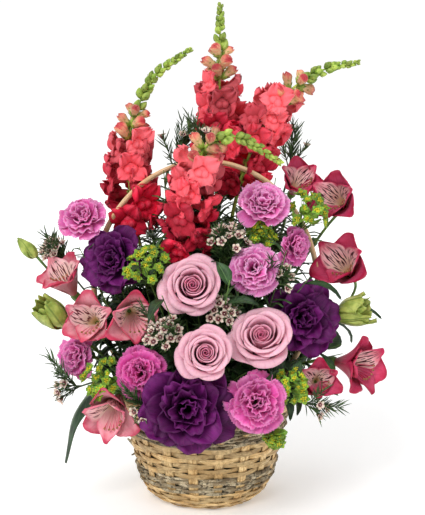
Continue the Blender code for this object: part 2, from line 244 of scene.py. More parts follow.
class Growth:
    """Gathers the sheets and tubes of one piece into one mesh.

    Every point has a UV place, a tone that sets it a little lighter or darker, and a mark that says
    whether it is on the back of a petal. Every face has a part number, which picks its finish.
    """

    def __init__(self) -> None:
        """Starts empty."""
        self._points: list[Grid] = []
        self._uvs: list[Grid] = []
        self._marks: dict[str, list[np.ndarray]] = {"tone": [], "cast": [], "back": []}
        self._faces: list[np.ndarray] = []
        self._parts: list[np.ndarray] = []
        self._count = 0

    def _add(self, points: Grid, uvs: Grid, marks: dict, faces: list[np.ndarray], part: int) -> None:
        """Adds one closed shape.

        Args:
            points: its points, one a row.
            uvs: a UV place for each.
            marks: its tone, cast and back marks, each one number or one for each point.
            faces: arrays of corner numbers, three or four a row.
            part: the part number of the shape.
        """
        self._points.append(points)
        self._uvs.append(uvs)
        for label, value in marks.items():
            self._marks[label].append(np.broadcast_to(np.asarray(value, float), (len(points),)))
        for group in faces:
            self._faces.append(group + self._count)
            self._parts.append(np.full(len(group), part))
        self._count += len(points)

    def sheet(
        self, points: Grid, tone: float = 0.5, thickness: float = 0.0005, part: int = 0, cast: float = 0.0
    ) -> None:
        """Adds a petal or a leaf: a grid of points given a thickness, closed round its rim.

        Args:
            points: rows from foot to tip, each with its points from edge to edge.
            tone: how light the sheet is, from 0 to 1.
            thickness: the sheet's thickness.
            part: the part number.
            cast: how far it takes its finish's second colour, from 0 to 1.
        """
        rows, cols = points.shape[:2]
        normal = unit(np.cross(np.gradient(points, axis=1), np.gradient(points, axis=0)))
        outer = (points + normal * thickness / 2).reshape(-1, 3)
        inner = (points - normal * thickness / 2).reshape(-1, 3)
        u, v = np.meshgrid(np.linspace(0, 1, cols), np.linspace(0, 1, rows))
        uvs = np.stack((u.ravel(), v.ravel()), axis=1)
        index = np.arange(rows * cols).reshape(rows, cols)
        quads = np.stack(
            (index[:-1, :-1], index[:-1, 1:], index[1:, 1:], index[1:, :-1]), axis=-1
        ).reshape(-1, 4)
        rim = np.concatenate((index[0], index[1:, -1], index[-1, -2::-1], index[-2:0:-1, 0]))
        after = np.roll(rim, -1)
        below = rows * cols
        side = np.stack((after, rim, rim + below, after + below), axis=-1)
        back = np.concatenate((np.ones(below), np.zeros(below)))
        faces = [quads, quads[:, ::-1] + below, side]
        marks = {"tone": tone, "cast": cast, "back": back}
        self._add(np.concatenate((outer, inner)), np.concatenate((uvs, uvs)), marks, faces, part)

    def tube(
        self,
        line: Grid,
        radii: np.ndarray,
        sides: int = 6,
        tone: float = 0.5,
        part: int = 0,
        flat: float = 1.0,
        breadth: np.ndarray | None = None,
        cast: float = 0.0,
    ) -> None:
        """Adds a closed tube along a line, with a point at each end's middle.

        Args:
            line: the points of its middle.
            radii: its radius at each, or its half-breadth where it is flat.
            sides: how many corners go round it.
            tone: how light it is, from 0 to 1.
            part: the part number.
            flat: its thickness as a share of its breadth.
            breadth: the way its broad side lies, where it is flat.
            cast: how far it takes its finish's second colour, from 0 to 1.
        """
        line = np.asarray(line, float)
        radii = np.broadcast_to(np.asarray(radii, float), (len(line),))
        along = unit(np.gradient(line, axis=0))
        first = breadth if breadth is not None else np.cross(along[0], UP)
        if np.linalg.norm(first) < 0.2:
            first = np.array((1.0, 0.0, 0.0))
        side = np.asarray(first, float)
        angles = np.arange(sides) * 2 * math.pi / sides
        rings = []
        for middle, ahead, radius in zip(line, along, radii):
            side = unit(side - ahead * (side @ ahead))
            rise = np.cross(ahead, side)
            rings.append(
                middle + radius * (np.cos(angles)[:, None] * side + flat * np.sin(angles)[:, None] * rise)
            )
        count = len(line)
        points = np.concatenate((*rings, line[:1], line[-1:]))
        v = np.repeat(np.linspace(0, 1, count), sides)
        u = np.tile(np.arange(sides) / sides, count)
        uvs = np.concatenate((np.stack((u, v), axis=1), ((0.5, 0.0), (0.5, 1.0))))
        index = np.arange(count * sides).reshape(count, sides)
        turned = np.roll(index, -1, axis=1)
        quads = np.stack((index[:-1], turned[:-1], turned[1:], index[1:]), axis=-1).reshape(-1, 4)
        foot, tip = count * sides, count * sides + 1
        fans = [
            np.stack((turned[0], index[0], np.full(sides, foot)), axis=-1),
            np.stack((index[-1], turned[-1], np.full(sides, tip)), axis=-1),
        ]
        self._add(points, uvs, {"tone": tone, "cast": cast, "back": 0.0}, [quads, *fans], part)

    def piece(self, name: str, finishes: tuple["Finish", ...]) -> bpy.types.Object:
        """Turns what was gathered into a named object in the scene.

        Args:
            name: the piece's name.
            finishes: the finish of each part number, in order.

        Returns:
            The object, at the origin, with its place in its mesh.
        """
        points, corners = np.concatenate(self._points), np.concatenate([f.ravel() for f in self._faces])
        sizes = np.concatenate([np.full(len(f), f.shape[1]) for f in self._faces])
        mesh = bpy.data.meshes.new(name)
        mesh.vertices.add(len(points))
        mesh.vertices.foreach_set("co", points.astype(np.float32).ravel())
        mesh.loops.add(len(corners))
        mesh.loops.foreach_set("vertex_index", corners.astype(np.int32))
        mesh.polygons.add(len(sizes))
        mesh.polygons.foreach_set("loop_start", np.concatenate(((0,), np.cumsum(sizes)[:-1])))
        parts = np.concatenate(self._parts).astype(np.int32)
        mesh.polygons.foreach_set("material_index", parts)
        mesh.uv_layers.new(name="UVMap").uv.foreach_set(
            "vector", np.concatenate(self._uvs)[corners].astype(np.float32).ravel()
        )
        for label, values in self._marks.items():
            mesh.attributes.new(label, "FLOAT", "POINT").data.foreach_set("value", np.concatenate(values))
        mesh.attributes.new("part", "INT", "FACE").data.foreach_set("value", parts)
        mesh.update(calc_edges=True)
        mesh.shade_smooth()
        for finish in finishes:
            mesh.materials.append(finish.material())
        made = bpy.data.objects.new(name, mesh)
        bpy.context.scene.collection.objects.link(made)
        return made


@dataclass(frozen=True)
class Petal:
    """The cut and the bearing of one petal, sepal or small leaf. Lengths are in metres."""

    length: float
    width: float
    lean: float  # degrees from the bloom's axis, at the claw
    curl: float = 0.0  # degrees it turns further out by its tip
    curl_late: float = 1.5  # above 1, the curl comes nearer the tip
    cup: float = 40.0  # degrees that each edge turns up towards the axis
    claw: float = 0.2  # width at the foot, as a share
    tip: float = 0.5  # width at the end, as a share
    belly: float = 0.6  # where it is widest, as a share of the length
    rounding: float = 0.2  # how much shorter its edges are than its middle
    ruffle: float = 0.0  # height of its waves, as a share of the length
    waves: float = 2.5
    teeth: float = 0.0  # depth of its teeth, as a share of the length
    tooth_count: float = 7.0
    crumple: float = 0.0  # finer creases over the blade, as a share of the length
    keel: float = 0.0  # fold along the midline, as a share of the width
    rows: int = 8
    cols: int = 9

    def grid(self, draw: random.Random, turn: float, foot: float = 0.0, lift: float = 0.0) -> Grid:
        """The petal's points in its bloom's frame, with the bloom's axis along Z.

        Args:
            draw: the source of its own variety.
            turn: the angle about the axis at which it stands, in radians.
            foot: how far its claw is from the axis.
            lift: how far its claw is up the axis.

        Returns:
            Rows from claw to tip, each with its points from edge to edge.
        """
        share = np.linspace(0, 1, 40)
        bend = np.radians(self.lean + self.curl * share**self.curl_late)
        step = self.length / (len(share) - 1)
        out = np.concatenate(((0,), np.cumsum(np.sin(bend[:-1]) * step)))
        rise = np.concatenate(((0,), np.cumsum(np.cos(bend[:-1]) * step)))
        u = np.linspace(-1, 1, self.cols)[None, :]
        s = np.linspace(0, 1, self.rows)[:, None]
        phase, other = draw.uniform(0, 6.28), draw.uniform(0, 6.28)
        reach = 1 - self.rounding * np.abs(u) ** 2.2
        reach = reach - self.teeth * (0.5 + 0.5 * np.sin(self.tooth_count * math.pi * u + other))
        s = s * np.ones_like(u)
        at = s * (1 - (1 - reach) * s**2)
        rising = self.claw + (1 - self.claw) * np.sin(np.clip(s / self.belly, 0, 1) * math.pi / 2)
        fall = np.clip((s - self.belly) / (1 - self.belly), 0, 1)
        falling = self.tip + (1 - self.tip) * np.cos(fall * math.pi / 2)
        half = self.width / 2 * np.where(s < self.belly, rising, falling)
        turned_in = max(math.radians(self.cup), 1e-3)
        across = half * np.sin(turned_in * u) / turned_in
        height = half * (1 - np.cos(turned_in * u)) / turned_in
        height = height + self.ruffle * self.length * s**2 * np.sin(
            math.pi * self.waves * u + phase + 1.4 * s
        ) * (0.35 + 0.65 * np.abs(u))
        height = height + self.crumple * self.length * np.sin(7 * s + 5 * u + other) * np.sin(
            9 * u - 4 * s + phase
        ) * s
        height = height + self.keel * half * np.abs(u)
        angle = np.interp(at, share, bend)
        radial = foot + np.interp(at, share, out) - height * np.cos(angle)
        axial = lift + np.interp(at, share, rise) + height * np.sin(angle)
        return np.stack(
            (
                radial * math.cos(turn) - across * math.sin(turn),
                radial * math.sin(turn) + across * math.cos(turn),
                axial,
            ),
            axis=-1,
        )


# --------------------------------------------------------------------------------------------------
# Finishes


class NodePad:
    """A short way to write the nodes of a material or of a Geometry Nodes tree."""

    def __init__(self, tree: bpy.types.NodeTree) -> None:
        """Starts on an empty tree."""
        self.tree = tree
        tree.nodes.clear()

    def add(self, kind: str, settings: dict | None = None, **inputs: object) -> bpy.types.Node:
        """Adds a node.

        Args:
            kind: Blender's name for its type.
            settings: its properties.
            inputs: for each input, by name with _ for a space or as i and its number, a value or
                the socket that feeds it.

        Returns:
            The node.
        """
        node = self.tree.nodes.new(kind)
        for label, value in (settings or {}).items():
            setattr(node, label, value)
        for label, value in inputs.items():
            numbered = label[0] == "i" and label[1:].isdigit()
            socket = node.inputs[int(label[1:])] if numbered else node.inputs[label.replace("_", " ")]
            if isinstance(value, bpy.types.NodeSocket):
                self.tree.links.new(value, socket)
            else:
                socket.default_value = value
        return node

    def math(self, operation: str, first: object, second: object = 0.0, third: object = 0.0):
        """The result of a Math node."""
        return self.add("ShaderNodeMath", {"operation": operation}, i0=first, i1=second, i2=third).outputs[0]

    def times(self, first: object, second: object) -> object:
        """One value times another."""
        return self.math("MULTIPLY", first, second)

    def plus(self, first: object, second: object) -> object:
        """One value added to another."""
        return self.math("ADD", first, second)

    def mix(self, share: object, first: object, second: object, blend: str = "MIX"):
        """The result of a colour Mix node."""
        node = self.add(
            "ShaderNodeMix", {"data_type": "RGBA", "blend_type": blend}, i0=share, i6=first, i7=second
        )
        return node.outputs[2]

    def ramp(self, share: object, stops: tuple[tuple[float, Colour], ...]):
        """The colour of a ramp with these (place, colour) stops."""
        node = self.add("ShaderNodeValToRGB", Fac=share)
        elements = node.color_ramp.elements
        while len(elements) < len(stops):
            elements.new(0.5)
        for element, (place, colour) in zip(elements, stops):
            element.position = place
            element.color = (*colour, 1.0)
        return node.outputs[0]

    def fade(self, value: object, low: float, high: float, first: float = 0.0, last: float = 1.0):
        """A value carried smoothly from one range to another."""
        node = self.add(
            "ShaderNodeMapRange",
            {"interpolation_type": "SMOOTHSTEP"},
            Value=value, From_Min=low, From_Max=high, To_Min=first, To_Max=last,
        )
        return node.outputs[0]

    def attribute(self, name: str):
        """The number stored on the mesh under a name."""
        return self.add("ShaderNodeAttribute", {"attribute_name": name}).outputs["Fac"]

    def uv(self):
        """The across and along shares of the piece's own UV map."""
        split = self.add("ShaderNodeSeparateXYZ", i0=self.add("ShaderNodeUVMap").outputs[0])
        return split.outputs[0], split.outputs[1]

    def noise(self, vector: object, scale: float, detail: float = 2.0, rough: float = 0.5):
        """A noise value from 0 to 1."""
        return self.add(
            "ShaderNodeTexNoise", Vector=vector, Scale=scale, Detail=detail, Roughness=rough
        ).outputs[0]

    def vector(self, x: object, y: object = 0.0, z: object = 0.0):
        """A vector from three numbers."""
        return self.add("ShaderNodeCombineXYZ", i0=x, i1=y, i2=z).outputs[0]


def black(colour: object = (0.0, 0.0, 0.0)) -> tuple[float, float, float, float]:
    """A colour with full opacity, black unless it is given."""
    return (*colour, 1.0)


@dataclass(frozen=True)
class Finish:
    """What every finish has: its name and its constant shader values."""

    name: str
    roughness: float = 0.5
    specular: float = 0.5
    sheen: float = 0.0
    subsurface: float = 0.0
    glow: float = 0.0

    def material(self) -> bpy.types.Material:
        """The Blender material, made the first time it is asked for."""
        made = bpy.data.materials.get(f"{self.name}_finish")
        if made:
            return made
        made = bpy.data.materials.new(f"{self.name}_finish")
        made.use_nodes = True
        pad = NodePad(made.node_tree)
        colour, height, depth = self.surface(pad)
        bump = pad.add("ShaderNodeBump", Strength=0.6, Distance=depth, Height=height)
        shader = pad.add(
            "ShaderNodeBsdfPrincipled",
            Base_Color=colour, Normal=bump.outputs[0], Roughness=self.roughness,
            Specular_IOR_Level=self.specular, Sheen_Weight=self.sheen,
            Subsurface_Weight=self.subsurface, Subsurface_Scale=0.004,
            Emission_Color=black((1.0, 1.0, 1.0)), Emission_Strength=self.glow,
        )
        pad.add("ShaderNodeOutputMaterial", Surface=shader.outputs[0])
        return made

    def surface(self, pad: NodePad) -> tuple[object, object, float]:
        """The colour, the height for the bump, and the bump's depth in metres."""
        raise NotImplementedError

    @staticmethod
    def shade(pad: NodePad, colour: object, spread: float):
        """The colour made lighter or darker by the tone of each petal."""
        value = pad.fade(pad.attribute("tone"), 0, 1, 1 - spread, 1 + spread)
        return pad.add("ShaderNodeHueSaturation", Color=colour, Value=value).outputs[0]


@dataclass(frozen=True)
class PetalFinish(Finish):
    """A petal: its colour from claw to edge, its veins, its rim and the colour of its back."""

    stops: tuple = ()
    rim: Colour | None = None
    rim_share: float = 0.5
    vein: Colour = (0.0, 0.0, 0.0)
    vein_share: float = 0.15
    vein_count: float = 14.0
    back: Colour | None = None
    back_share: float = 0.6
    cast: Colour | None = None
    streaks: Colour | None = None
    spread: float = 0.22

    def surface(self, pad: NodePad) -> tuple[object, object, float]:
        """A ramp along the petal with fine veins, a rim and soft blotches."""
        u, v = pad.uv()
        place = pad.add("ShaderNodeTexCoord").outputs["Object"]
        blotch = pad.noise(place, 90.0, 3.0)
        along = pad.plus(v, pad.fade(blotch, 0.3, 0.7, -0.08, 0.08))
        colour = pad.ramp(along, self.stops)
        fan = pad.vector(
            pad.times(u, self.vein_count), pad.times(v, 1.6), pad.attribute("tone")
        )
        veins = pad.noise(fan, 3.0, 3.0, 0.6)
        colour = pad.mix(pad.fade(veins, 0.48, 0.7, 0.0, self.vein_share), colour, black(self.vein))
        if self.back:
            share = pad.times(pad.attribute("back"), self.back_share)
            colour = pad.mix(share, colour, black(self.back))
        edge = pad.math("ABSOLUTE", pad.math("SUBTRACT", pad.times(u, 2.0), 1.0))
        if self.rim:
            margin = pad.math("MAXIMUM", pad.times(edge, pad.fade(v, 0.2, 0.6)), v)
            margin = pad.plus(margin, pad.fade(blotch, 0.3, 0.7, -0.04, 0.04))
            colour = pad.mix(pad.fade(margin, 0.84, 1.0, 0.0, self.rim_share), colour, black(self.rim))
        if self.streaks:
            dashes = pad.noise(
                pad.vector(
                    pad.times(u, 21.0), pad.times(v, 5.0), pad.attribute("tone")
                ), 1.0, 0.0
            )
            middle = pad.fade(edge, 0.6, 0.9, 1.0, 0.0)
            zone = pad.times(pad.fade(v, 0.22, 0.36), pad.fade(v, 0.74, 0.92, 1.0, 0.0))
            share = pad.times(pad.fade(dashes, 0.53, 0.60), pad.times(middle, zone))
            colour = pad.mix(share, colour, black(self.streaks))
        if self.cast:
            colour = pad.mix(pad.attribute("cast"), colour, black(self.cast))
        colour = self.shade(pad, colour, self.spread)
        height = pad.math(
            "ADD", pad.times(veins, 0.7), pad.times(pad.noise(place, 900.0), 0.3)
        )
        return colour, height, 0.0006


@dataclass(frozen=True)
class LeafFinish(Finish):
    """A leaf or a green part: two greens, a midrib and side veins."""

    dark: Colour = (0.0, 0.0, 0.0)
    light: Colour = (0.0, 0.0, 0.0)
    rib: Colour = (0.0, 0.0, 0.0)
    rib_share: float = 0.5
    veins: float = 9.0
    flush: Colour | None = None  # the colour that the tips turn
    spread: float = 0.3

    def surface(self, pad: NodePad) -> tuple[object, object, float]:
        """Mottled green with a pale midrib and slanting side veins."""
        u, v = pad.uv()
        place = pad.add("ShaderNodeTexCoord").outputs["Object"]
        mottle = pad.noise(place, 120.0, 3.0)
        colour = pad.mix(pad.fade(mottle, 0.3, 0.72), black(self.dark), black(self.light))
        from_middle = pad.math("ABSOLUTE", pad.math("SUBTRACT", u, 0.5))
        slant = pad.math(
            "SUBTRACT", pad.times(v, self.veins), pad.times(from_middle, 4.0)
        )
        vein = pad.fade(pad.math("PINGPONG", slant, 0.5), 0.0, 0.12, 1.0, 0.0)
        rib = pad.fade(from_middle, 0.01, 0.06, 1.0, 0.0)
        lines = pad.math("MAXIMUM", rib, pad.times(vein, 0.35))
        colour = pad.mix(pad.times(lines, self.rib_share), colour, black(self.rib))
        if self.flush:
            colour = pad.mix(pad.fade(v, 0.5, 1.0, 0.0, 0.85), colour, black(self.flush))
        colour = self.shade(pad, colour, self.spread)
        height = pad.math("SUBTRACT", pad.times(mottle, 0.5), lines)
        return colour, height, 0.0005


@dataclass(frozen=True)
class WoodFinish(Finish):
    """A split or a twig: long fibres, darker lines and flecks, all running with its length."""

    pale: Colour = (0.0, 0.0, 0.0)
    body: Colour = (0.0, 0.0, 0.0)
    line: Colour = (0.0, 0.0, 0.0)
    fleck: Colour = (0.0, 0.0, 0.0)
    fleck_share: float = 0.0
    patch_size: float = 55.0
    patch_edge: float = 0.14  # half the width of the blend between the two main colours
    depth: float = 0.0006
    spread: float = 0.3

    def surface(self, pad: NodePad) -> tuple[object, object, float]:
        """Fibres stretched along the piece, then lines, flecks and the odd darker stretch."""
        u, v = pad.uv()
        place = pad.add("ShaderNodeTexCoord").outputs["Object"]
        strand = pad.vector(
            pad.times(u, 9.0), pad.times(v, 11.0), pad.attribute("tone")
        )
        fibre = pad.noise(strand, 2.0, 4.0)
        patch = pad.noise(place, self.patch_size, 3.0, 0.6)
        colour = pad.mix(
            pad.fade(patch, 0.5 - self.patch_edge, 0.5 + self.patch_edge), black(self.body), black(self.pale)
        )
        colour = pad.mix(pad.fade(fibre, 0.46, 0.64, 0.0, 0.8), colour, black(self.line))
        speck = pad.noise(place, 260.0, 2.0)
        colour = pad.mix(pad.fade(speck, 0.52, 0.64, 0.0, self.fleck_share), colour, black(self.fleck))
        colour = self.shade(pad, colour, self.spread)
        height = pad.plus(fibre, pad.times(speck, 0.6))
        return colour, height, self.depth


@dataclass(frozen=True)
class FoamFinish(Finish):
    """Soaked floral foam, or moulded plastic: one colour with pores or a faint grain."""

    dark: Colour = (0.0, 0.0, 0.0)
    light: Colour = (0.0, 0.0, 0.0)
    pores: float = 1200.0
    depth: float = 0.0006

    def surface(self, pad: NodePad) -> tuple[object, object, float]:
        """Pores over soft blotches."""
        place = pad.add("ShaderNodeTexCoord").outputs["Object"]
        pore = pad.add("ShaderNodeTexVoronoi", Vector=place, Scale=self.pores).outputs[0]
        soft = pad.noise(place, 60.0, 3.0)
        colour = pad.mix(pad.fade(soft, 0.3, 0.7), black(self.dark), black(self.light))
        colour = pad.mix(pad.fade(pore, 0.0, 0.4, 0.5, 0.0), colour, black(self.dark))
        return colour, pore, self.depth


ROSE = PetalFinish(
    "rose_petal", 0.6, 0.25, 0.1, 0.1,
    stops=(
        (0.0, paint(190, 118, 126)), (0.4, paint(216, 142, 164)),
        (0.8, paint(240, 182, 199)), (1.0, paint(246, 200, 211)),
    ),
    rim=paint(228, 152, 174), rim_share=0.35, vein=paint(202, 120, 152), vein_share=0.3,
    back=paint(226, 160, 182), back_share=0.5, cast=paint(230, 116, 158), spread=0.08,
)
LISIANTHUS = PetalFinish(
    "lisianthus_petal", 0.55, 0.25, 0.0, 0.02,
    stops=(
        (0.0, paint(32, 6, 32)), (0.5, paint(72, 12, 72)),
        (0.85, paint(106, 22, 100)), (1.0, paint(124, 30, 116)),
    ),
    rim=paint(72, 16, 74), rim_share=0.5, vein=paint(34, 6, 34), vein_share=0.55, vein_count=20,
    back=paint(76, 22, 80), spread=0.3,
)
CARNATION = PetalFinish(
    "carnation_lavender", 0.62, 0.25, 0.15, 0.1,
    stops=(
        (0.0, paint(148, 26, 104)), (0.45, paint(206, 82, 160)),
        (0.8, paint(232, 128, 194)), (1.0, paint(240, 156, 208)),
    ),
    rim=paint(250, 194, 230), rim_share=0.55, vein=paint(176, 50, 136), vein_share=0.5, vein_count=18,
    cast=paint(210, 44, 146), spread=0.2,
)
CRIMSON_TEPAL = PetalFinish(
    "alstroemeria_crimson", 0.45, 0.35, 0.02, 0.06,
    stops=(
        (0.0, paint(206, 186, 136)), (0.22, paint(238, 188, 196)),
        (0.5, paint(222, 96, 136)), (1.0, paint(186, 20, 70)),
    ),
    rim=paint(166, 14, 58), rim_share=0.6, vein=paint(160, 20, 66), vein_share=0.4,
    back=paint(184, 24, 74), back_share=0.85, spread=0.18,
)
CRIMSON_INNER = PetalFinish(
    "alstroemeria_cream", 0.45, 0.35, 0.02, 0.06,
    stops=(
        (0.0, paint(226, 204, 132)), (0.3, paint(246, 230, 206)),
        (0.62, paint(240, 196, 196)), (1.0, paint(196, 34, 86)),
    ),
    rim=paint(188, 30, 80), rim_share=0.85, vein=paint(208, 104, 124), vein_share=0.3,
    back=paint(200, 50, 96), back_share=0.8, streaks=paint(64, 6, 24), spread=0.1,
)
PINK_TEPAL = PetalFinish(
    "alstroemeria_pink", 0.45, 0.35, 0.02, 0.08,
    stops=(
        (0.0, paint(224, 200, 150)), (0.35, paint(246, 206, 204)),
        (0.75, paint(240, 164, 176)), (1.0, paint(214, 70, 104)),
    ),
    rim=paint(204, 44, 84), rim_share=0.6, vein=paint(214, 104, 126), vein_share=0.4,
    back=paint(200, 44, 84), back_share=0.75, spread=0.14,
)
PINK_INNER = PetalFinish(
    "alstroemeria_blush", 0.45, 0.35, 0.02, 0.08,
    stops=(
        (0.0, paint(236, 212, 136)), (0.4, paint(248, 230, 214)),
        (0.8, paint(244, 192, 196)), (1.0, paint(212, 66, 100)),
    ),
    rim=paint(226, 118, 142), rim_share=0.6, vein=paint(226, 144, 154), vein_share=0.3,
    back=paint(230, 136, 156), streaks=paint(96, 14, 36), spread=0.1,
)
SNAPDRAGON = PetalFinish(
    "snapdragon_petal", 0.6, 0.15, 0.02, 0.05,
    stops=(
        (0.0, paint(206, 74, 76)), (0.35, paint(200, 20, 52)),
        (0.75, paint(230, 38, 70)), (1.0, paint(236, 74, 98)),
    ),
    rim=paint(196, 22, 50), rim_share=0.3, vein=paint(150, 10, 34), vein_share=0.5,
    back=paint(204, 36, 68), cast=paint(234, 114, 122), spread=0.34,
)
SNAPDRAGON_BUD = PetalFinish(
    "snapdragon_bud", 0.5, 0.3, 0.05, 0.08,
    stops=(
        (0.0, paint(170, 186, 90)), (0.45, paint(224, 190, 140)),
        (0.75, paint(226, 156, 122)), (1.0, paint(206, 66, 72)),
    ),
    rim=paint(190, 54, 66), rim_share=0.55, vein=paint(196, 84, 80), vein_share=0.5, spread=0.2,
)
WAX_PETAL = PetalFinish(
    "waxflower_petal", 0.35, 0.5, 0.05, 0.15,
    stops=((0.0, paint(176, 84, 92)), (0.3, paint(230, 200, 184)), (1.0, paint(240, 228, 208))),
    rim=paint(226, 176, 172), rim_share=0.4, vein=paint(214, 150, 150), vein_share=0.3, spread=0.12,
)
WAX_HEART = PetalFinish(
    "waxflower_heart", 0.25, 0.6, 0.0, 0.0,
    stops=((0.0, paint(96, 110, 50)), (0.45, paint(120, 44, 50)), (1.0, paint(96, 22, 34))), spread=0.2,
)
ANTHER = PetalFinish(
    "anther", 0.6, 0.3, stops=(
        (0.0, paint(214, 110, 120)), (0.7, paint(190, 130, 90)), (1.0, paint(120, 100, 60))
    ),
)
POLLEN = PetalFinish(
    "umbel_flower", 0.5, 0.3, stops=((0.0, paint(170, 190, 50)), (1.0, paint(222, 206, 50))), spread=0.2,
)
STALK = LeafFinish(
    "stalk_green", 0.5, 0.4, dark=paint(70, 104, 48), light=paint(112, 148, 66),
    rib=paint(128, 160, 80), rib_share=0.2,
)
BUD_GREEN = LeafFinish(
    "bud_green", 0.45, 0.4, 0.05, 0.08, dark=paint(130, 150, 58), light=paint(184, 194, 98),
    rib=paint(84, 116, 40), rib_share=0.7, veins=2.0, spread=0.15,
)
SPIKE_GREEN = LeafFinish(
    "spike_green", 0.45, 0.35, 0.02, 0.06, dark=paint(112, 144, 44), light=paint(182, 202, 92),
    rib=paint(196, 216, 122), rib_share=0.35, veins=4.0, spread=0.3,
)
DARK_LEAF = LeafFinish(
    "dark_leaf", 0.4, 0.45, dark=paint(20, 44, 22), light=paint(40, 74, 36),
    rib=paint(96, 128, 74), rib_share=0.55,
)
FILLER_LEAF = LeafFinish(
    "filler_leaf", 0.45, 0.4, dark=paint(24, 48, 24), light=paint(48, 84, 38),
    rib=paint(104, 138, 78), rib_share=0.5,
)
UMBEL_LEAF = LeafFinish(
    "umbel_leaf", 0.45, 0.4, 0.05, 0.06, dark=paint(84, 134, 34), light=paint(146, 186, 52),
    rib=paint(190, 214, 110), rib_share=0.4, veins=5.0, spread=0.3,
)
NEEDLE = LeafFinish(
    "waxflower_needle", 0.45, 0.4, dark=paint(38, 66, 34), light=paint(78, 108, 54),
    rib=paint(100, 130, 70), rib_share=0.2, spread=0.35,
)
SPLINT = WoodFinish(
    "bamboo_splint", 0.5, 0.35, pale=paint(230, 201, 147), body=paint(204, 168, 112),
    line=paint(156, 118, 68), fleck=paint(124, 90, 50), fleck_share=0.4, spread=0.26,
)
# The handle's splint: the same bamboo splint painted paler, a lit copy whose extra paleness is painted light
# that makes up for the shade on the handle.
HOOP_LIT_COPY = WoodFinish(
    "handle_splint", 0.42, 0.4, pale=paint(246, 216, 174), body=paint(236, 198, 150),
    line=paint(206, 162, 114), fleck=paint(180, 134, 90), fleck_share=0.2, spread=0.08,
)
BARK = WoodFinish(
    "willow_bark", 0.8, 0.2, pale=paint(208, 194, 162), body=paint(154, 136, 106),
    line=paint(84, 68, 50), fleck=paint(44, 34, 25), fleck_share=0.8, patch_size=130.0, patch_edge=0.08,
    depth=0.0018, spread=0.5,
)
FOAM = FoamFinish("wet_floral_foam", 0.85, 0.2, dark=paint(16, 48, 26), light=paint(34, 74, 42))
PLASTIC = FoamFinish(
    "liner_plastic", 0.4, 0.5, dark=paint(20, 36, 24), light=paint(28, 48, 32), pores=500.0, depth=0.0001
)


# --------------------------------------------------------------------------------------------------
# Geometry Nodes trees


class Profile(Enum):
    """The cross-section of a weaver."""

    SPLIT = "a flat splint with eased edges"
    TWIG = "a round twig"


class GrowTree:
    """What the Geometry Nodes trees share: named inputs, and a plain mesh as the result."""

    title = "tree"

    def __init__(self) -> None:
        """Builds the tree once, or takes the one that is there."""
        made = bpy.data.node_groups.get(self.title)
        self.tree = made or bpy.data.node_groups.new(self.title, "GeometryNodeTree")
        if not made:
            self.tree.is_modifier = True
            self.pad = NodePad(self.tree)
            self.socket("Geometry", "NodeSocketGeometry")
            self.tree.interface.new_socket("Geometry", in_out="OUTPUT", socket_type="NodeSocketGeometry")
            self.build()

    def socket(self, name: str, kind: str) -> None:
        """Adds a named input."""
        self.tree.interface.new_socket(name, in_out="INPUT", socket_type=kind)

    def build(self) -> None:
        """Makes the nodes."""
        raise NotImplementedError

    def named(self, name: str, kind: str = "FLOAT"):
        """The values stored under a name on the mesh."""
        return self.pad.add("GeometryNodeInputNamedAttribute", {"data_type": kind}, Name=name).outputs[0]

    def grow(self, seed_mesh: bpy.types.Mesh, name: str, values: dict[str, object]) -> bpy.types.Object:
        """Runs the tree on a mesh of points or lines.

        Args:
            seed_mesh: the mesh that the tree starts from.
            name: the piece's name.
            values: the value of each named input.

        Returns:
            A plain mesh object, with no modifier on it.
        """
        made = bpy.data.objects.new(name, seed_mesh)
        bpy.context.scene.collection.objects.link(made)
        modifier = made.modifiers.new(self.title, "NODES")
        modifier.node_group = self.tree
        for item in self.tree.interface.items_tree:
            if item.in_out == "INPUT" and item.name in values:
                modifier[item.identifier] = values[item.name]
        graph = bpy.context.evaluated_depsgraph_get()
        mesh = bpy.data.meshes.new_from_object(
            made.evaluated_get(graph), preserve_all_data_layers=True, depsgraph=graph
        )
        made.modifiers.remove(modifier)
        made.data = mesh
        mesh.name = name
        bpy.data.meshes.remove(seed_mesh)
        return made


class StandTree(GrowTree):
    """Stands a shape on each point, turned and sized by the point, and dresses its parts."""

    title = "shapes_on_points"
    finishes = ("Blade Finish", "Green Finish", "Heart Finish")

    def build(self) -> None:
        """Makes the nodes."""
        self.socket("Shapes", "NodeSocketCollection")
        self.socket("Variety", "NodeSocketFloat")
        self.socket("Seed", "NodeSocketInt")
        for finish in self.finishes:
            self.socket(finish, "NodeSocketMaterial")
        pad = self.pad
        start = pad.add("NodeGroupInput")
        shapes = pad.add("GeometryNodeCollectionInfo", i0=start.outputs["Shapes"], i1=True, i2=True)
        turned = pad.add(
            "FunctionNodeAxesToRotation", {"primary_axis": "Z", "secondary_axis": "X"},
            i0=self.named("facing", "FLOAT_VECTOR"), i1=self.named("side", "FLOAT_VECTOR"),
        )
        spread = pad.math("SUBTRACT", 1.0, start.outputs["Variety"])
        wide = pad.plus(1.0, start.outputs["Variety"])
        dice = pad.add("FunctionNodeRandomValue", i2=spread, i3=wide, Seed=start.outputs["Seed"])
        size = pad.times(self.named("size"), dice.outputs[1])
        stood = pad.add(
            "GeometryNodeInstanceOnPoints",
            Points=start.outputs["Geometry"], Instance=shapes.outputs[0], Pick_Instance=True,
            Instance_Index=self.named("variant", "INT"), Rotation=turned.outputs[0],
            Scale=pad.vector(size, size, size),
        )
        geometry = pad.add("GeometryNodeRealizeInstances", i0=stood.outputs[0]).outputs[0]
        for part, finish in enumerate(self.finishes):
            chosen = pad.add(
                "FunctionNodeCompare", {"data_type": "INT", "operation": "EQUAL"},
                i2=self.named("part", "INT"), i3=part,
            )
            geometry = pad.add(
                "GeometryNodeSetMaterial",
                Geometry=geometry, Selection=chosen.outputs[0], Material=start.outputs[finish],
            ).outputs[0]
        pad.add("NodeGroupOutput", Geometry=geometry)


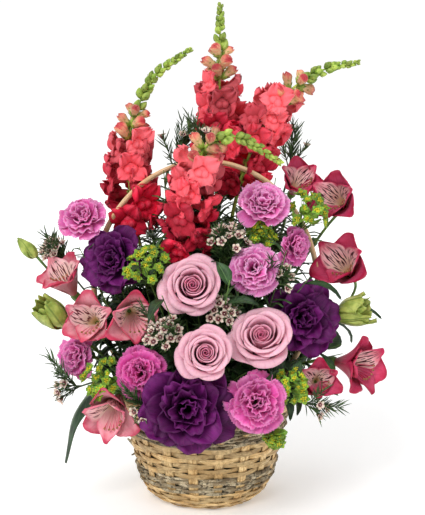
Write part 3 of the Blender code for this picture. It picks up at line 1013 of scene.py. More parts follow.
class WeaveTree(GrowTree):
    """Weaves lines in and out of the stakes, and gives each its splint or twig."""

    title = "weave_round_stakes"

    def __init__(self, profile: Profile) -> None:
        """Builds the tree for one cross-section."""
        self.profile = profile
        self.title = f"weave_{profile.name.lower()}"
        super().__init__()

    def build(self) -> None:
        """Makes the nodes."""
        for label in ("Weave Depth", "Lift", "Flatness", "Wander", "Unevenness", "Grain Size"):
            self.socket(label, "NodeSocketFloat")
        self.socket("Stakes", "NodeSocketInt")
        self.socket("Seed", "NodeSocketInt")
        self.socket("Finish", "NodeSocketMaterial")
        pad = self.pad
        start = pad.add("NodeGroupInput")
        place = pad.add("GeometryNodeInputPosition").outputs[0]
        split = pad.add("ShaderNodeSeparateXYZ", i0=place)
        angle = pad.math("ARCTAN2", split.outputs[1], split.outputs[0])
        half = pad.times(start.outputs["Stakes"], 0.5)
        swing = pad.math("COSINE", pad.plus(pad.times(angle, half), self.named("phase")))
        outward = pad.add(
            "ShaderNodeVectorMath", {"operation": "NORMALIZE"}, i0=pad.vector(
                split.outputs[0], split.outputs[1]
            )
        ).outputs[0]
        apart = pad.add(
            "ShaderNodeVectorMath", {"operation": "MULTIPLY"}, i0=place, i1=(1.0, 1.0, 7.0)
        ).outputs[0]
        noise = pad.add(
            "ShaderNodeTexNoise", {"noise_dimensions": "4D"},
            Vector=apart, W=start.outputs["Seed"], Scale=start.outputs["Grain Size"], Detail=3.0,
        ).outputs[0]
        stray = pad.times(pad.math("SUBTRACT", noise, 0.5), start.outputs["Wander"])
        reach = pad.plus(pad.times(swing, start.outputs["Weave Depth"]), stray)
        rise = pad.plus(pad.times(swing, start.outputs["Lift"]), stray)
        moved = pad.add(
            "ShaderNodeVectorMath", {"operation": "MULTIPLY_ADD"},
            i0=outward, i1=pad.vector(reach, reach, 0.0), i2=pad.vector(0.0, 0.0, rise),
        ).outputs[0]
        woven = pad.add("GeometryNodeSetPosition", Geometry=start.outputs["Geometry"], Offset=moved)
        curve = pad.add("GeometryNodeMeshToCurve", i0=woven.outputs[0]).outputs[0]
        curve = pad.add("GeometryNodeSetCurveNormal", {"mode": "Z_UP"}, i0=curve).outputs[0]
        curve = pad.add("GeometryNodeSetCurveTilt", Curve=curve, Tilt=self.named("tilt")).outputs[0]
        knob = pad.times(pad.math("SUBTRACT", noise, 0.5), start.outputs["Unevenness"])
        thick = pad.plus(1.0, knob)
        breadth = pad.times(self.named("breadth"), thick)
        curve = pad.add("GeometryNodeSetCurveRadius", Curve=curve, Radius=breadth).outputs[0]
        span = pad.add("GeometryNodeSplineParameter").outputs
        curve = self.store(curve, "along", span["Length"])
        if self.profile is Profile.SPLIT:
            ring = pad.add(
                "GeometryNodeCurvePrimitiveQuadrilateral",
                i0=pad.times(start.outputs["Flatness"], 2.0), i1=2.0,
            ).outputs[0]
            ring = pad.add(
                "GeometryNodeFilletCurve", {"mode": "POLY"}, Curve=ring, Count=1, Radius=0.12
            ).outputs[0]
        else:
            ring = pad.add("GeometryNodeCurvePrimitiveCircle", Resolution=7, Radius=1.0).outputs[0]
        ring = self.store(ring, "across", span["Factor"])
        solid = pad.add(
            "GeometryNodeCurveToMesh", Curve=curve, Profile_Curve=ring, Fill_Caps=True,
            Scale=pad.add("GeometryNodeInputRadius").outputs[0],
        ).outputs[0]
        chart = pad.vector(self.named("across"), pad.times(self.named("along"), 4.0))
        solid = pad.add(
            "GeometryNodeStoreNamedAttribute", {"data_type": "FLOAT2", "domain": "CORNER"},
            Geometry=solid, Name="UVMap", Value=chart,
        ).outputs[0]
        solid = pad.add("GeometryNodeRealizeInstances", i0=solid).outputs[0]
        dressed = pad.add("GeometryNodeSetMaterial", Geometry=solid, Material=start.outputs["Finish"])
        pad.add("NodeGroupOutput", Geometry=dressed.outputs[0])

    def store(self, geometry: object, name: str, value: object):
        """Keeps a value on the points under a name."""
        return self.pad.add(
            "GeometryNodeStoreNamedAttribute", {"data_type": "FLOAT", "domain": "POINT"},
            Geometry=geometry, Name=name, Value=value,
        ).outputs[0]


def line_mesh(lines: list[Grid], values: dict[str, list[float]]) -> bpy.types.Mesh:
    """A mesh of lines for a tree to work on.

    Args:
        lines: the points of each line.
        values: numbers to store on the points, one for each line.

    Returns:
        The mesh.
    """
    mesh = bpy.data.meshes.new("lines")
    starts = np.cumsum([0] + [len(line) for line in lines])
    edges = [
        (first + step, first + step + 1)
        for first, line in zip(starts, lines)
        for step in range(len(line) - 1)
    ]
    mesh.from_pydata(np.concatenate(lines).tolist(), edges, [])
    for label, numbers in values.items():
        spread = np.concatenate([np.full(len(line), number) for line, number in zip(lines, numbers)])
        mesh.attributes.new(label, "FLOAT", "POINT").data.foreach_set("value", spread)
    return mesh


class Stand:
    """Copies of a few shapes, each on its own point."""

    def __init__(self, shapes: list[Growth]) -> None:
        """Starts with the shapes and no points."""
        self.shapes = shapes
        self._rows: list[tuple] = []

    def add(
        self,
        place: np.ndarray,
        facing: np.ndarray,
        side: np.ndarray,
        size: float = 1.0,
        variant: int = 0,
        tone: float = 0.5,
        cast: float = 0.0,
    ) -> None:
        """Adds a point.

        Args:
            place: where the shape's own origin goes.
            facing: the way its Z points.
            side: the way its X points, as near as it can.
            size: its scale.
            variant: which of the shapes it is.
            tone: how light it is, from 0 to 1.
            cast: how far it takes its finish's second colour, from 0 to 1.
        """
        self._rows.append((place, facing, side, size, variant, tone, cast))

    def piece(self, name: str, finishes: tuple[Finish, ...], variety: float = 0.08) -> bpy.types.Object:
        """Runs the tree.

        Args:
            name: the piece's name.
            finishes: for the parts of the shapes, in order, one to three.
            variety: how much sizes vary, as a share.

        Returns:
            One plain mesh object with every copy in it.
        """
        places, facings, sides, sizes, variants, tones, casts = zip(*self._rows)
        mesh = bpy.data.meshes.new("points")
        mesh.from_pydata(np.array(places).tolist(), [], [])
        for label, kind, key, values in (
            ("facing", "FLOAT_VECTOR", "vector", np.array(facings, np.float32).ravel()),
            ("side", "FLOAT_VECTOR", "vector", np.array(sides, np.float32).ravel()),
            ("size", "FLOAT", "value", np.array(sizes, np.float32)),
            ("variant", "INT", "value", np.array(variants, np.int32)),
            ("tone", "FLOAT", "value", np.array(tones, np.float32)),
            ("cast", "FLOAT", "value", np.array(casts, np.float32)),
        ):
            mesh.attributes.new(label, kind, "POINT").data.foreach_set(key, values)
        holder = bpy.data.collections.new(f"{name}_shapes")
        for number, shape in enumerate(self.shapes):
            model = shape.piece(f"{name}_shape_{number}", ())
            bpy.context.scene.collection.objects.unlink(model)
            for label in ("tone", "cast"):
                model.data.attributes.remove(model.data.attributes[label])
            holder.objects.link(model)
        dressed = [finish.material() for finish in finishes]
        dressed += dressed[-1:] * (len(StandTree.finishes) - len(dressed))
        values = {"Shapes": holder, "Variety": variety, "Seed": zlib.crc32(name.encode()) % 9999}
        made = StandTree().grow(mesh, name, values | dict(zip(StandTree.finishes, dressed)))
        parts = np.zeros(len(made.data.polygons), np.int32)
        made.data.attributes["part"].data.foreach_get("value", parts)
        made.data.materials.clear()
        for finish in finishes:
            made.data.materials.append(finish.material())
        made.data.polygons.foreach_set("material_index", np.minimum(parts, len(finishes) - 1))
        for model in list(holder.objects):
            bpy.data.objects.remove(model, do_unlink=True)
        bpy.data.collections.remove(holder)
        return made


def fit(piece: bpy.types.Object, slot: str, *nodes: str) -> None:
    """Gives a finished piece its body, and hides the nodes that it stands for.

    Args:
        piece: the finished object.
        slot: the record's material slot, which is not used.
        *nodes: the nodes it replaces.
    """
    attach(piece, BODY)
    if nodes:
        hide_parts(*nodes)
    LOG.info("%s: %d faces", piece.name, len(piece.data.polygons))


# --------------------------------------------------------------------------------------------------
# The basket


@dataclass(frozen=True)
class WeaveZone:
    """A stretch of the wall, counted up the wall's own slope."""

    name: str
    profile: Profile
    finish: Finish
    slot: str
    share: float  # of the wall's slope
    rows: int
    passes: tuple[int, ...]  # for each row in turn, which stakes it passes behind: even or odd ones
    flatness: float
    fill: float  # half the breadth of a weaver, as a share of the row's pitch
    wander: float
    unevenness: float
    pieces: int  # weavers that make up one row, end over end
    depth: float = 1.7 * MM
    outward: float = 0.0  # how far the row stands out past the stakes' middle


@dataclass
class Basket:
    """The woven wall, its stakes, rim bands and base, and the hoop handle."""

    hoop_line: ClassVar[Grid] = np.zeros((1, 3))  # the handle's own line, once it is built

    stakes: int = 18
    stake_breadth: float = 10.5 * MM
    stake_thickness: float = 1.6 * MM
    depth: float = 1.7 * MM
    clearance: float = 0.2 * MM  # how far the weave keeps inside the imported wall's face
    point_spacing: float = 2.4 * MM
    slope: list = field(default_factory=list)  # radius and height of the wall's face, going up

    zones = (
        WeaveZone(
            "weave_low", Profile.SPLIT, SPLINT, "bamboo_splint", share=0.27, rows=8, passes=(0, 1),
            flatness=0.26, fill=0.50, wander=2.0 * MM, unevenness=0.9, pieces=2,
        ),
        WeaveZone(
            "bark_low", Profile.TWIG, BARK, "willow_bark", share=0.15, rows=6, passes=(0, 1, 0, 1, 0, 0),
            flatness=1.0, fill=0.50, wander=3.4 * MM, unevenness=2.2, pieces=4, depth=2.1 * MM,
            outward=-0.2 * MM,
        ),
        WeaveZone(
            "weave_middle", Profile.SPLIT, SPLINT, "bamboo_splint", share=0.27, rows=6, passes=(1, 0),
            flatness=0.15, fill=0.52, wander=3.2 * MM, unevenness=1.2, pieces=2,
        ),
        WeaveZone(
            "bark_high", Profile.TWIG, BARK, "willow_bark", share=0.18, rows=7, passes=(0, 1, 1, 0, 1),
            flatness=1.0, fill=0.50, wander=3.6 * MM, unevenness=2.2, pieces=4, depth=1.0 * MM,
            outward=0.9 * MM,
        ),
        WeaveZone(
            "weave_top", Profile.SPLIT, SPLINT, "bamboo_splint", share=0.13, rows=3, passes=(0, 1),
            flatness=0.18, fill=0.52, wander=1.6 * MM, unevenness=0.6, pieces=2,
        ),
    )

    def wall(self) -> None:
        """Reads the wall's outer face: its height and radius, up the slope."""
        low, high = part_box("basket_wall")
        corners = np.array([v.co for v in frame["nodes"]["basket_wall"].data.vertices])
        radii = np.hypot(corners[:, 0], corners[:, 1])
        heights = sorted({round(float(z), 5) for z in corners[:, 2]})
        outer = []
        for height in heights:
            radius = float(radii[np.abs(corners[:, 2] - height) < 1e-5].max())
            if not outer or radius > outer[-1][0]:
                outer.append((radius, height))
        self.slope = outer
        LOG.info("wall: %.0f mm high, %.0f mm across its rim", (high[2] - low[2]) / MM, 2000 * outer[-1][0])

    def up_the_wall(self, share: float) -> tuple[float, float, float]:
        """The radius, height and lean of the wall at a share of its slope."""
        knots = np.array(self.slope)
        runs = run_lengths(knots)
        here = share * runs[-1]
        radius, height = (float(np.interp(here, runs, knots[:, axis])) for axis in (0, 1))
        ahead = [float(np.interp(here + 3 * MM, runs, knots[:, axis])) for axis in (0, 1)]
        before = [float(np.interp(here - 3 * MM, runs, knots[:, axis])) for axis in (0, 1)]
        return radius, height, math.atan2(ahead[0] - before[0], ahead[1] - before[1])

    def ring(
        self, radius: float, height: float, start: float, turn: float = math.tau + 0.12, sag: float = 0.0
    ) -> Grid:
        """A line round the basket.

        Args:
            radius: how far it is from the axis.
            height: its height.
            start: the angle at which it starts.
            turn: the angle that it covers.
            sag: how far its two ends lie below and above its height.

        Returns:
            Its points.
        """
        count = max(8, int(radius * turn / self.point_spacing))
        angles = start + np.linspace(0, turn, count)
        heights = height + sag * np.linspace(-1, 1, count) ** 3
        return np.stack((radius * np.cos(angles), radius * np.sin(angles), heights), axis=1)

    def weave(self) -> None:
        """The rows of splints and twigs, zone by zone."""
        draw = chance("weave")
        knots = np.array(self.slope)
        length = float(np.linalg.norm(np.diff(knots, axis=0), axis=1).sum())
        bottom = 0.0
        for number, zone in enumerate(self.zones):
            pitch = zone.share / zone.rows
            lines, phases, breadths, tilts, tones = [], [], [], [], []
            for row in range(zone.rows):
                radius, height, lean = self.up_the_wall(bottom + (row + 0.5) * pitch)
                start, turn = draw.uniform(0, math.tau), math.tau / zone.pieces
                for piece in range(zone.pieces):
                    over = draw.uniform(0.08, 0.22)
                    lines.append(
                        self.ring(
                            radius - self.depth - self.clearance + zone.outward,
                            height + draw.uniform(-0.3, 0.3) * MM,
                            start + piece * turn - over, turn + 2 * over, draw.uniform(-0.9, 0.9) * MM,
                        )
                    )
                    phases.append(math.pi * zone.passes[row % len(zone.passes)])
                    breadths.append(pitch * length * zone.fill * draw.uniform(0.82, 1.15))
                    tilts.append(lean)
                    tones.append(draw.uniform(0.05, 0.95))
            mesh = line_mesh(
                lines, {"phase": phases, "breadth": breadths, "tilt": tilts, "tone": tones}
            )
            values = {
                "Weave Depth": zone.depth, "Lift": 0.0, "Flatness": zone.flatness, "Wander": zone.wander,
                "Unevenness": zone.unevenness, "Grain Size": 90.0, "Stakes": self.stakes,
                "Seed": 11 + number, "Finish": zone.finish.material(),
            }
            piece = WeaveTree(zone.profile).grow(mesh, zone.name, values)
            fit(piece, zone.slot, "basket_wall")
            bottom += zone.share

    def stake_line(self, angle: float, inner: float) -> Grid:
        """A stake's line, from inside the base's edge up the wall to under the rim."""
        shares = np.linspace(0.0, 0.995, 16)
        points = [(inner, 2.0 * MM)]
        for share in shares:
            radius, height, lean = self.up_the_wall(float(share))
            offset = self.depth + self.clearance
            points.append((radius - offset * math.cos(lean), height + offset * math.sin(lean)))
        return np.array([(r * math.cos(angle), r * math.sin(angle), h) for r, h in points])

    def build_stakes(self) -> None:
        """The flat stakes that the weavers pass in front of and behind."""
        growth = Growth()
        draw = chance("stakes")
        for number in range(self.stakes):
            angle = math.tau * number / self.stakes
            line = self.stake_line(angle, 6 * MM)
            growth.tube(
                line, self.stake_breadth / 2 * draw.uniform(0.9, 1.1), 8, draw.uniform(0.3, 0.9),
                flat=self.stake_thickness / self.stake_breadth,
                breadth=np.array((-math.sin(angle), math.cos(angle), 0.0)),
            )
        fit(growth.piece("stakes", (SPLINT,)), "bamboo_splint", "basket_wall")

    def build_base(self) -> None:
        """The woven base: rings of splint that pass over and under the stakes."""
        low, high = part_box("basket_base")
        outer = high[0]
        rows, hole = 9, 5 * MM
        pitch = (outer - hole) / rows
        draw = chance("base")
        lines = [
            self.ring(hole + pitch * (row + 0.5), (low[2] + high[2]) / 2, draw.uniform(0, 6))
            for row in range(rows)
        ]
        mesh = line_mesh(
            lines,
            {
                "phase": [math.pi * row for row in range(rows)],
                "breadth": [pitch * 0.47] * rows,
                "tilt": [math.pi / 2] * rows,
                "tone": [draw.uniform(0.2, 0.8) for _ in range(rows)],
            },
        )
        values = {
            "Weave Depth": 0.0, "Lift": 0.9 * MM, "Flatness": 0.22, "Wander": 0.3 * MM, "Unevenness": 0.4,
            "Grain Size": 70.0, "Stakes": self.stakes, "Seed": 7, "Finish": SPLINT.material(),
        }
        fit(WeaveTree(Profile.SPLIT).grow(mesh, "woven_base", values), "bamboo_splint", "basket_base")

    def build_rim(self) -> None:
        """The outer and inner bands that clasp the rim, and the thin cane that covers it."""
        for name, tone in (("rim_band_outer", 0.6), ("rim_band_inner", 0.4)):
            low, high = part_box(name)
            outside = name == "rim_band_outer"
            corners = np.array([v.co for v in frame["nodes"][name].data.vertices])
            radii = np.hypot(corners[:, 0], corners[:, 1])
            radius = float(radii.max() + radii.min()) / 2
            lean = 0.14
            mesh = line_mesh(
                [self.ring(radius, (low[2] + high[2]) / 2, 1.2 if outside else 4.0)],
                {"phase": [0.0], "breadth": [(high[2] - low[2]) / 2], "tilt": [lean], "tone": [tone]},
            )
            values = {
                "Weave Depth": 0.15 * MM, "Lift": 0.2 * MM, "Flatness": 0.15, "Wander": 1.6 * MM,
                "Unevenness": 0.3, "Grain Size": 26.0, "Stakes": self.stakes, "Seed": 3,
                "Finish": SPLINT.material(),
            }
            fit(WeaveTree(Profile.SPLIT).grow(mesh, f"{name}_splint", values), "bamboo_splint", name)
        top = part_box("rim_band_outer")[1][2]
        radius = float(self.slope[-1][0])
        mesh = line_mesh(
            [self.ring(radius - 0.5 * MM, top + 0.6 * MM, 0.9)],
            {"phase": [0.0], "breadth": [1.9 * MM], "tilt": [0.0], "tone": [0.7]},
        )
        values = {
            "Weave Depth": 0.0, "Lift": 0.0, "Flatness": 1.0, "Wander": 1.2 * MM, "Unevenness": 0.8,
            "Grain Size": 40.0, "Stakes": self.stakes, "Seed": 5, "Finish": SPLINT.material(),
        }
        fit(WeaveTree(Profile.TWIG).grow(mesh, "rim_cane", values), "bamboo_splint")

    def build_stubs(self) -> None:
        """Broken ends of bark that stick out where a twig was joined in."""
        growth = Growth()
        draw = chance("stubs")
        # degrees round the basket, share of the way up the wall, reach in millimetres
        for angle, share, reach in (
            (183, 0.52, 9), (187, 0.44, 6), (176, 0.66, 7), (191, 0.58, 5), (200, 0.70, 8),
            (357, 0.55, 8), (2, 0.62, 5), (352, 0.48, 6), (40, 0.6, 7), (95, 0.65, 8), (140, 0.5, 6),
        ):
            turn = math.radians(angle)
            radius, height, _ = self.up_the_wall(share)
            outward = spoke(turn)
            aside = np.array((-math.sin(turn), math.cos(turn), 0.0)) * draw.choice((-1, 1))
            start = outward * (radius - 3 * MM) + UP * height - aside * 6 * MM
            end = outward * (radius + reach * MM * 0.5) + UP * (height + draw.uniform(-3, 4) * MM)
            end = end + aside * reach * MM
            middle = (start + end) / 2 + UP * draw.uniform(-1, 1) * MM
            line = smooth_line(np.array((start, middle, end)), 3)
            growth.tube(line, np.linspace(1.5, 0.7, len(line)) * MM, 6, draw.uniform(0.1, 0.7))
        fit(growth.piece("bark_stubs", (BARK,)), "willow_bark")

    def build_handle(self) -> None:
        """The hoop: one bent splint, flat on its inner face and slightly uneven in breadth."""
        low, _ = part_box("handle_hoop")
        hoop = CutStem.read("handle_hoop", near=np.array((low[0] + 45 * MM, 0.0, low[2])))
        line = smooth_line(hoop.line, 3)
        Basket.hoop_line = line
        draw = chance("handle")
        waves = [draw.uniform(0, 6.28) for _ in range(2)]
        t = np.linspace(0, 1, len(line))
        uneven = 1 + 0.05 * np.sin(19 * t + waves[0]) + 0.03 * np.sin(43 * t + waves[1])
        growth = Growth()
        growth.tube(
            line, float(np.median(hoop.radii)) * uneven, 14, 0.6, flat=0.62,
            breadth=np.array((0.62, 0.78, 0.0))
        )
        # The hoop takes the lit copy of the splint: its paler colour is painted light.
        fit(growth.piece("handle_splint", (HOOP_LIT_COPY,)), "bamboo_splint", "handle_hoop")

    def build(self) -> None:
        """Builds and dresses the whole basket."""
        self.wall()
        self.weave()
        self.build_stakes()
        self.build_base()
        self.build_rim()
        self.build_stubs()
        self.build_handle()
        for name, finish in (("liner", PLASTIC), ("floral_foam", FOAM)):
            node = frame["nodes"][name]
            node.data.materials.clear()
            node.data.materials.append(finish.material())


# --------------------------------------------------------------------------------------------------
# Leaves on stems


def leaf_shape(
    length: float, width: float, curl: float, name: str, grid: tuple[int, int] = (6, 5), tip: float = 0.08,
) -> Growth:
    """A simple leaf that grows along Z from the origin and arches towards X.

    Args:
        length: how long it is.
        width: how wide it is.
        curl: degrees that it arches.
        name: sets its own variety.
        grid: its points along and across.
        tip: the width of its end, as a share.

    Returns:
        The shape, with few faces, because it is used many times.
    """
    growth = Growth()
    petal = Petal(
        length, width, 4, curl, 1.2, cup=24, claw=0.12, tip=tip, belly=0.42, rounding=0.05,
        ruffle=0.03, waves=1.5, keel=0.3, rows=grid[0], cols=grid[1],
    )
    growth.sheet(petal.grid(chance(name), 0.0), thickness=0.5 * MM)
    return growth


def across(direction: np.ndarray, draw: random.Random) -> np.ndarray:
    """A direction at right angles to another, at a random turn."""
    spin = np.array([draw.gauss(0, 1) for _ in range(3)])
    return unit(np.cross(direction, spin))


class LeafCut(Enum):
    """The kinds of leaf that the stems carry: length, width and arch."""

    BROAD = (40 * MM, 21 * MM, 50.0)
    LANCE = (52 * MM, 13 * MM, 60.0)
    BLADE = (46 * MM, 5 * MM, 70.0)


@dataclass
class Flower:
    """A cut stem with one bloom: what every kind shares."""

    name: str
    slot: str = ""
    widest_at: float = 0.0
    fullness: float = 1.0
    leaves: int = 5
    leaf_cut: LeafCut = LeafCut.LANCE
    leaf_finish: Finish = FILLER_LEAF
    neck: int = 2  # how many of the head's rings still belong to the stalk
    solid: ClassVar[bool] = True  # whether leaves keep clear of the bloom
    heads: ClassVar[list[tuple[Bearing, float]]] = []  # every bloom that they keep clear of

    def __post_init__(self) -> None:
        """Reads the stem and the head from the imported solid."""
        self.stem = CutStem.read(self.name)
        self.bearing, radius = self.stem.head(self.widest_at)
        self.radius = radius * self.fullness
        self.draw = chance(self.name)
        if self.solid:
            Flower.heads.append((self.bearing, self.radius))

    @classmethod
    def clear(cls, *points: np.ndarray) -> bool:
        """Whether points are outside every bloom, and not just in front of one."""
        for bearing, radius in cls.heads:
            for point in points:
                away = point - bearing.centre
                ahead = float(away @ bearing.facing)
                aside = math.sqrt(max(0.0, float(away @ away) - ahead * ahead))
                if -0.9 * radius < ahead < 3.0 * radius and aside < 0.95 * radius:
                    return False
        return True

    def build(self) -> None:
        """Builds the bloom, the stalk and the leaves, and fits them."""
        fit(self.bloom(), self.slot, self.name)
        fit(self.stalk(), "bud_green", self.name)
        if self.leaves:
            fit(self.foliage(), "dark_leaf", self.name)

    def bloom(self) -> bpy.types.Object:
        """The bloom itself."""
        raise NotImplementedError

    def stalk(self) -> bpy.types.Object:
        """The round green stalk, from its foot in the foam to under the bloom."""
        line, radii = self.stem.stalk(STEM_RINGS + self.neck)
        growth = Growth()
        growth.tube(line, radii, 8, self.draw.uniform(0.3, 0.7))
        return growth.piece(f"{self.name}_stalk", (STALK,))

    def foliage(self) -> bpy.types.Object:
        """Leaves that stand out from the stalk between the foam and the bloom."""
        length, width, curl = self.leaf_cut.value
        shapes = [
            leaf_shape(length * size, width * size, curl * bend, f"leaf{size}")
            for size, bend in ((1.0, 1.0), (0.8, 0.6), (0.9, 1.3))
        ]
        stand = Stand(shapes)
        line, _ = self.stem.stalk(STEM_RINGS, 10)
        above = [i for i, point in enumerate(line[:-1]) if point[2] > 0.122 or math.hypot(*point[:2]) > 0.09]
        for number in range(self.leaves):
            step = above[int(len(above) * (0.08 + 0.8 * (number + self.draw.random()) / self.leaves))]
            along = unit(line[step + 1] - line[step])
            for _ in range(12):
                aside = across(along, self.draw)
                grows = unit(along * self.draw.uniform(0.5, 1.0) + aside)
                if self.clear(line[step] + grows * 0.6 * length, line[step] + grows * length):
                    break
            stand.add(
                line[step], grows, aside, self.draw.uniform(0.6, 1.0), number % 3,
                self.draw.uniform(0.1, 0.8)
            )
        return stand.piece(f"{self.name}_leaves", (self.leaf_finish,))


# --------------------------------------------------------------------------------------------------
# Roses


@dataclass(frozen=True)
class RoseWhorl:
    """A run of rose petals, each value from the innermost petal to the outermost.

    Lengths are shares of the head's radius.
    """

    count: int
    ring: tuple[float, float]  # how far the wall of a petal stands from the axis
    wrap: tuple[float, float]  # degrees that it reaches to each side
    top: tuple[float, float]  # height of its rim
    roll: tuple[float, float]  # radius of the rolled lip
    turn_over: tuple[float, float]  # degrees that the lip turns
    tuck: float  # how far its sides draw in
    point: float  # rise of the tip

    def at(self, share: float) -> tuple[float, ...]:
        """The values a share of the way out."""
        pairs = (self.ring, self.wrap, self.top, self.roll, self.turn_over)
        return tuple(inner + (outer - inner) * share for inner, outer in pairs)


@dataclass
class Rose(Flower):
    """A half-open florist's rose: a tight spiral heart, a cup round it, and petals that roll back."""

    slot: str = "rose_petal"
    widest_at: float = 0.10
    fullness: float = 1.06
    leaf_cut: LeafCut = LeafCut.BROAD
    spiral: float = 0.055  # how far a petal's far edge stands off its near one
    foot: float = -0.95
    whorls = (
        RoseWhorl(11, (0.045, 0.33), (125, 84), (0.20, 0.27), (0.015, 0.035), (40, 100), 0.0, 0.02),
        RoseWhorl(6, (0.43, 0.58), (80, 72), (0.36, 0.33), (0.06, 0.09), (100, 140), 0.10, 0.05),
        RoseWhorl(9, (0.62, 0.74), (62, 58), (0.27, -0.06), (0.12, 0.20), (120, 150), 0.22, 0.10),
    )

    def petal(self, whorl: RoseWhorl, share: float, turn: float) -> Grid:
        """One petal, wrapped about the axis.

        Args:
            whorl: the run of petals that it is in.
            share: its place in the run, from the inside.
            turn: where it stands about the axis.

        Returns:
            Its points in the head's own frame.
        """
        draw = self.draw
        ring, wrap, top, roll, over = whorl.at(share)
        ring, wrap = ring * draw.uniform(0.97, 1.03), math.radians(wrap * draw.uniform(0.92, 1.08))
        top = top + draw.uniform(-0.03, 0.03)
        u = np.linspace(-1, 1, 17)[None, :]
        v = np.linspace(0, 1, 15)[:, None]
        wall = np.clip(v / 0.7, 0, 1)
        lip = np.clip((v - 0.7) / 0.3, 0, 1)
        over = math.radians(over) * (1 - 0.45 * np.abs(u) ** 1.6) * draw.uniform(0.85, 1.15)
        bulge = np.sin(wall * math.pi / 2) ** 0.75
        spread = 0.15 + (ring - 0.15) * bulge * (1 - whorl.tuck * np.abs(u) ** 2.2 * wall)
        spread = spread + roll * (1 - np.cos(over * lip)) + self.spiral * u * (0.3 + 0.7 * v)
        wave = np.sin(2.6 * math.pi * u + draw.uniform(0, 6)) + 0.6 * np.sin(5.3 * u + draw.uniform(0, 6))
        spread = spread + 0.25 * roll * wave * lip * np.abs(u)
        reach = (top - self.foot - roll) * (1 - draw.uniform(0.10, 0.2) * np.abs(u) ** 2.4)
        height = self.foot + reach * wall + roll * np.sin(over * lip)
        height = height + whorl.point * (1 - np.abs(u)) ** 1.5 * v**3 + 0.018 * wave * lip
        angle = turn + u * wrap * (0.32 + 0.68 * np.sin(np.clip(v / 0.45, 0, 1) * math.pi / 2))
        points = np.stack(
            (spread * np.cos(angle), spread * np.sin(angle), height * np.ones_like(u)), axis=-1
        )
        return points * self.radius

    def bloom(self) -> bpy.types.Object:
        """Every petal, and the green sepals under them."""
        growth, number, total = Growth(), 0, sum(whorl.count for whorl in self.whorls)
        for whorl in self.whorls:
            for step in range(whorl.count):
                grid = self.petal(whorl, step / (whorl.count - 1), number * GOLDEN_TURN)
                cast = max(0.0, 0.9 - 1.9 * number / total) + self.draw.uniform(0, 0.08)
                growth.sheet(self.bearing.place(grid), self.draw.random(), 0.55 * MM, cast=cast)
                number += 1
        sepal = Petal(0.72 * self.radius, 0.26 * self.radius, 62, 60, cup=30, claw=0.9, tip=0.05, belly=0.2)
        for step in range(5):
            grid = sepal.grid(self.draw, step * math.tau / 5, 0.12 * self.radius, self.foot * self.radius)
            growth.sheet(self.bearing.place(grid), self.draw.random(), 0.6 * MM, 1)
        hip = self.bearing.place(np.array([(0, 0, z * self.radius) for z in (-1.2, -1.1, -1.0, -0.9)]))
        growth.tube(hip, np.array((0.10, 0.2, 0.24, 0.16)) * self.radius, 10, part=1)
        return growth.piece(f"{self.name}_bloom", (ROSE, STALK))


# --------------------------------------------------------------------------------------------------
# Lisianthus


@dataclass
class Lisianthus(Flower):
    """A double lisianthus: a bowl of broad, waved petals, crowded at its heart."""

    slot: str = "lisianthus_petal"
    widest_at: float = -0.10
    fullness: float = 1.13
    petals: int = 27
    depth: float = 0.62  # how far the petals' feet are below the head's centre

    def bloom(self) -> bpy.types.Object:
        """Every petal, from the crowded heart outwards."""
        growth, radius, draw = Growth(), self.radius, self.draw
        for number in range(self.petals):
            share = number / (self.petals - 1)
            length = radius * (0.80 + 0.34 * share) * draw.uniform(0.93, 1.07)
            petal = Petal(
                length, length * draw.uniform(0.82, 1.05) * (0.75 + 0.35 * share),
                4 + 50 * share + draw.uniform(-6, 6), 14 + 38 * share, 1.6, cup=68 - 34 * share,
                claw=0.22, tip=0.74, belly=0.66, rounding=0.14, ruffle=draw.uniform(0.07, 0.13),
                waves=draw.uniform(1.8, 3.2), crumple=0.018 + 0.02 * (1 - share), rows=11, cols=14,
            )
            grid = petal.grid(
                draw, number * GOLDEN_TURN, (0.03 + 0.12 * share) * radius, -self.depth * radius
            )
            growth.sheet(self.bearing.place(grid), draw.random(), 0.5 * MM)
        for number in range(5):
            sepal = Petal(
                0.75 * radius, 0.13 * radius, 50, 20, cup=20, claw=0.9, tip=0.05, belly=0.2, rows=6,
                cols=5
            )
            grid = sepal.grid(draw, number * math.tau / 5, 0.07 * radius, -0.72 * radius)
            growth.sheet(self.bearing.place(grid), draw.random(), 0.5 * MM, 1)
        return growth.piece(f"{self.name}_bloom", (LISIANTHUS, STALK))


